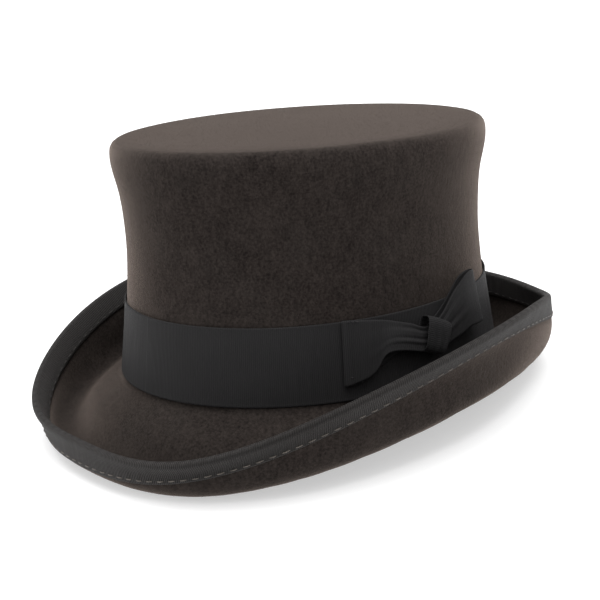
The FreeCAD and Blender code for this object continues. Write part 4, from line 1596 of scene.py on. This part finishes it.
@dataclass(frozen=True)
class Strip:
    """A small strip lying on the leather.

    Its middle is in radians from the front, its half length along the band, and its edges above the break.
    """

    name: str
    middle: float
    half: float
    low: float
    high: float
    cover: float
    thickness: float
    columns: int = 14
    rows: int = 18
    fullness: float = 0.15 * MM


SEAM_TAPE = Strip("seam_tape_strip", math.pi, 4.5 * MM, 4.2 * MM, 33.0 * MM, 0.55 * MM, 0.4 * MM)
SIZE_TAB = Strip("blank_size_tab", -math.pi / 2, 8 * MM, 22.6 * MM, 33.4 * MM, 0.4 * MM, 0.35 * MM)


@dataclass(frozen=True)
class Sweatband:
    """The leather band against the head, its reed, stitches, seam tape, small bow and blank size tab.

    The small bow's loop is millimetres from the knot and millimetres off the leather.
    """

    shop: Workshop
    bottom: float = 0.6 * MM
    width: float = 34 * MM
    leather: float = 1.0 * MM
    cover: float = -3.95 * MM
    pitch: float = 6.0 * MM
    stitch_length: float = 3.2 * MM
    thread: float = 0.5 * MM
    seed: int = 23
    stitch_rise: float = 2.4 * MM
    reed: float = 1.0 * MM
    reed_inset: float = 3.5 * MM
    reed_height: float = -0.6 * MM
    turn_radius_inset: float = 5 * MM
    bow_height: float = 23.8
    bow_ribbon: float = 0.3 * MM
    bow_loop: tuple[tuple[float, float], ...] = (
        (0.0, 1.2),
        (4.0, 1.0),
        (8.5, 0.9),
        (10.7, 1.35),
        (8.5, 2.6),
        (4.0, 2.2),
        (0.0, 1.5),
    )

    def build(self) -> None:
        """Make every piece of the band."""
        self._leather()
        self._reed()
        self._stitches()
        self._strip(SEAM_TAPE, TAPE, "tape", "seam_tape")
        self._small_bow()
        self._strip(SIZE_TAB, LABEL, "tab", "size_tab")

    def _inner(self, height: Array | float, extra: float = 0.0) -> Array | float:
        """The offset of the leather's inner face at a height, and a little more."""
        return self.cover - self.leather / 2 - extra - self.shop.form.wall_inset(height)

    def _leather(self) -> None:
        """The leather, with a pressed line near its upper edge."""
        form, angles = self.shop.form, self.shop.angles
        shares = np.concatenate([[0, 0.01, 0.025], np.linspace(0.05, 0.95, 30), [0.975, 0.99, 1.0]])
        height = self.bottom + shares * self.width
        pressed = 0.25 * MM * np.exp(-(((shares - 0.93) / 0.012) ** 2))
        ripple = 0.18 * MM * np.sin(7 * angles + 1)[:, None] * np.sin(np.pi * shares)[None, :]
        offset = self.cover + pressed[None, :] - ripple - form.wall_inset(height)[None, :]
        centre = form.around(angles[:, None], offset, height[None, :])
        piece = ribbon_shell("leather_sweatband", self.shop.stand.place(centre), self.leather, True)
        self.shop.settle(piece, LEATHER, "leather", ["sweatband"])

    def _reed(self) -> None:
        """The covered reed in the sweatband's foot."""
        form = self.shop.form
        fine = np.linspace(0, 2 * math.pi, 720, endpoint=False)
        turns = np.linspace(0, 2 * math.pi, 12, endpoint=False)
        girth = self.reed * (1 + 0.05 * np.sin(190 * fine[:, None]) * np.cos(turns)[None, :])
        offset = girth * np.cos(turns)[None, :] - self.reed_inset
        points = form.around(fine[:, None], offset, self.reed_height + girth * np.sin(turns)[None, :])
        piece = grid_mesh("covered_reed", self.shop.stand.place(points), None, (True, True), (False, False))
        self.shop.settle(piece, LEATHER, "leather", ["sweatband_reed"])

    def _stitches(self) -> None:
        """The row of dark stitches along the foot."""
        form, angles = self.shop.form, self.shop.angles
        height = self.bottom + self.stitch_rise
        places = form.around(angles, self._inner(height, 0.05 * MM), height)
        outs = -np.stack([np.sin(angles), -np.cos(angles), np.zeros_like(angles)], 1)
        tree = stitch_tree("foot_stitches")
        seat = self.shop.stand.place(places)
        row = sewn_row(tree, seat, self.shop.stand.turn(outs), self, self.shop.wardrobe.material(DARK_THREAD))
        piece = joined("foot_stitch_row", [row])
        self.shop.settle(piece, DARK_THREAD, "dark_thread", ["sweatband_stitches"])

    def _strip(self, strip: Strip, finish: Finish, slot: str, node: str) -> None:
        """Lay a small strip on the leather.

        Args:
            strip: Its sizes.
            finish: Its finish.
            slot: The record's material slot.
            node: The CAD node it stands for.
        """
        form = self.shop.form
        radius = form.half_length - self.turn_radius_inset
        reach = np.linspace(-strip.half, strip.half, strip.columns) / radius
        height = np.linspace(strip.low, strip.high, strip.rows)
        fuller = np.sin(np.linspace(0, np.pi, strip.rows))[None, :] * strip.fullness
        offset = self._inner(height, strip.cover)[None, :] - fuller
        centre = self.shop.stand.place(form.around(strip.middle + reach[:, None], offset, height[None, :]))
        piece = ribbon_shell(strip.name, centre, strip.thickness, False)
        self.shop.settle(piece, finish, slot, [node])

    def _small_bow(self) -> None:
        """The small ribbon bow at the back: two loops and a knot."""
        form, stand = self.shop.form, self.shop.stand
        radius = form.half_length - self.turn_radius_inset
        parts = []
        for side in (-1, 1):
            spots = Line(self.bow_loop).at(np.linspace(0, 1, 40))
            spread = 1.35 + 3.0 * np.clip(spots[:, 0] / 9, 0, 1) ** 1.2
            share = np.linspace(-1, 1, 12)
            height = (self.bow_height + spread[:, None] * share[None, :]) * MM
            cover = spots[:, 1:2] + 0.35 * np.cos(2.2 * np.pi * share)[None, :] * (1 - spots[:, 0:1] / 12)
            angle = math.pi - side * spots[:, 0:1] * MM / radius
            offset = self._inner(height) - (cover + 0.2) * MM
            sheet = stand.place(form.around(angle, offset, height))
            parts.append(ribbon_shell("loop", sheet, self.bow_ribbon, False))
        turns = np.linspace(0, 2 * math.pi, 30, endpoint=False)
        share = np.linspace(-1, 1, 9)
        height = (self.bow_height + 1.9 * np.sin(turns)[:, None] + 0 * share[None, :]) * MM
        offset = self._inner(height, 1.6 * MM) - 0.95 * MM * np.cos(turns)[:, None]
        angle = math.pi + share[None, :] * 1.5 * MM / radius
        sheet = stand.place(form.around(angle, offset, height))
        parts.append(ribbon_shell("tie", sheet, self.bow_ribbon, True))
        piece = joined("small_ribbon_bow", parts)
        self.shop.settle(piece, TAPE, "tape", ["small_bow"])


# ---------------------------------------------------------------- the set


@dataclass(frozen=True)
class Studio:
    """A white floor, soft light from above and all round, and the camera."""

    shop: Workshop
    azimuth: float = math.radians(51.5)
    elevation: float = math.radians(12.687)
    distance: float = 0.7294
    aim_height: float = 0.05086
    roll: float = math.radians(-2.947)
    lens: float = 81.75
    shift: tuple[float, float] = (-0.01183, -0.0664)
    zenith: float = 1.3
    horizon: float = 0.26
    overhead: float = 3.1
    overhead_lean: float = math.radians(-3)
    floor_glow: float = 0.5
    floor_grey: float = 0.55
    floor_half: float = 6.0
    sun_angle: float = math.radians(60)

    def build(self) -> None:
        """Set the camera, the floor and the lights."""
        self._camera()
        self._floor()
        self._lights()

    def _camera(self) -> None:
        """Place the camera in the crown's frame and turn it with the crown."""
        side, rise = self.azimuth, self.elevation
        back = np.array([math.sin(side) * math.cos(rise), -math.cos(side) * math.cos(rise), math.sin(rise)])
        right = np.array([math.cos(side), math.sin(side), 0.0])
        up = np.cross(back, right)
        rolled_right = right * math.cos(self.roll) + up * math.sin(self.roll)
        rolled_up = up * math.cos(self.roll) - right * math.sin(self.roll)
        place = np.array([0.0, 0.0, self.aim_height]) + back * self.distance
        stand = self.shop.stand
        axes = [Vector(stand.turn(axis)) for axis in (rolled_right, rolled_up, back)]
        matrix = Matrix([[axis[row] for axis in axes] for row in range(3)]).to_4x4()
        matrix.translation = Vector(stand.place(place))
        data = bpy.data.cameras.new("view")
        data.lens, data.sensor_width = self.lens, 36.0
        data.shift_x, data.shift_y = self.shift
        data.clip_start, data.clip_end = 0.01, 50.0
        camera = put_in_scene("view", data)
        camera.matrix_world = matrix
        bpy.context.scene.camera = camera

    def _floor(self) -> None:
        """A plain white floor under the brim, which glows a little so that the shadow stays pale."""
        half = self.floor_half
        mesh = bpy.data.meshes.new("floor")
        corners = [(-half, -half, 0), (half, -half, 0), (half, half, 0), (-half, half, 0)]
        mesh.from_pydata(corners, [], [(0, 1, 2, 3)])
        floor = put_in_scene("floor", mesh)
        material = bpy.data.materials.new("white_floor")
        material.use_nodes = True
        values = {
            "Base Color": rgba([self.floor_grey] * 3),
            "Emission Color": rgba((1.0, 1.0, 1.0)),
            "Emission Strength": self.floor_glow,
            "Roughness": 0.9,
            "Specular IOR Level": 0.0,
        }
        Graph(material.node_tree).send(material.node_tree.nodes["Principled BSDF"], values)
        mesh.materials.append(material)

    def _lights(self) -> None:
        """A wide soft light overhead and a white surround that is brighter above than at the horizon."""
        scene = bpy.context.scene
        scene.view_settings.view_transform = "Standard"
        scene.view_settings.look = "None"
        world = bpy.data.worlds.new("surround")
        world.use_nodes = True
        graph = Graph(world.node_tree)
        direction = graph.add("ShaderNodeTexCoord").outputs["Generated"]
        strength = graph.spread(graph.split(direction)[2], 0.0, 0.75, self.horizon, self.zenith)
        graph.send(world.node_tree.nodes["Background"], {0: rgba((1.0, 1.0, 1.0)), 1: strength})
        scene.world = world
        data = bpy.data.lights.new("overhead", "SUN")
        data.energy = self.overhead
        data.angle = self.sun_angle
        lamp = put_in_scene("overhead", data)
        away = Vector((-math.cos(self.azimuth), -math.sin(self.azimuth), 0.0))
        towards = away * math.sin(self.overhead_lean)
        towards.z = math.cos(self.overhead_lean)
        lamp.rotation_euler = towards.to_track_quat("Z", "Y").to_euler()


def main() -> None:
    """Build the hat from the felt outwards, then light it."""
    logging.basicConfig(level=logging.INFO, format="%(name)s: %(message)s")
    shop = Workshop.opened(frame["record"])
    FeltHood(shop).build()
    BrimBinding(shop).build()
    HatBand(shop).build()
    Bow(shop).build()
    CrownLining(shop).build()
    Sweatband(shop).build()
    Studio(shop).build()


if __name__ == "__main__":
    main()
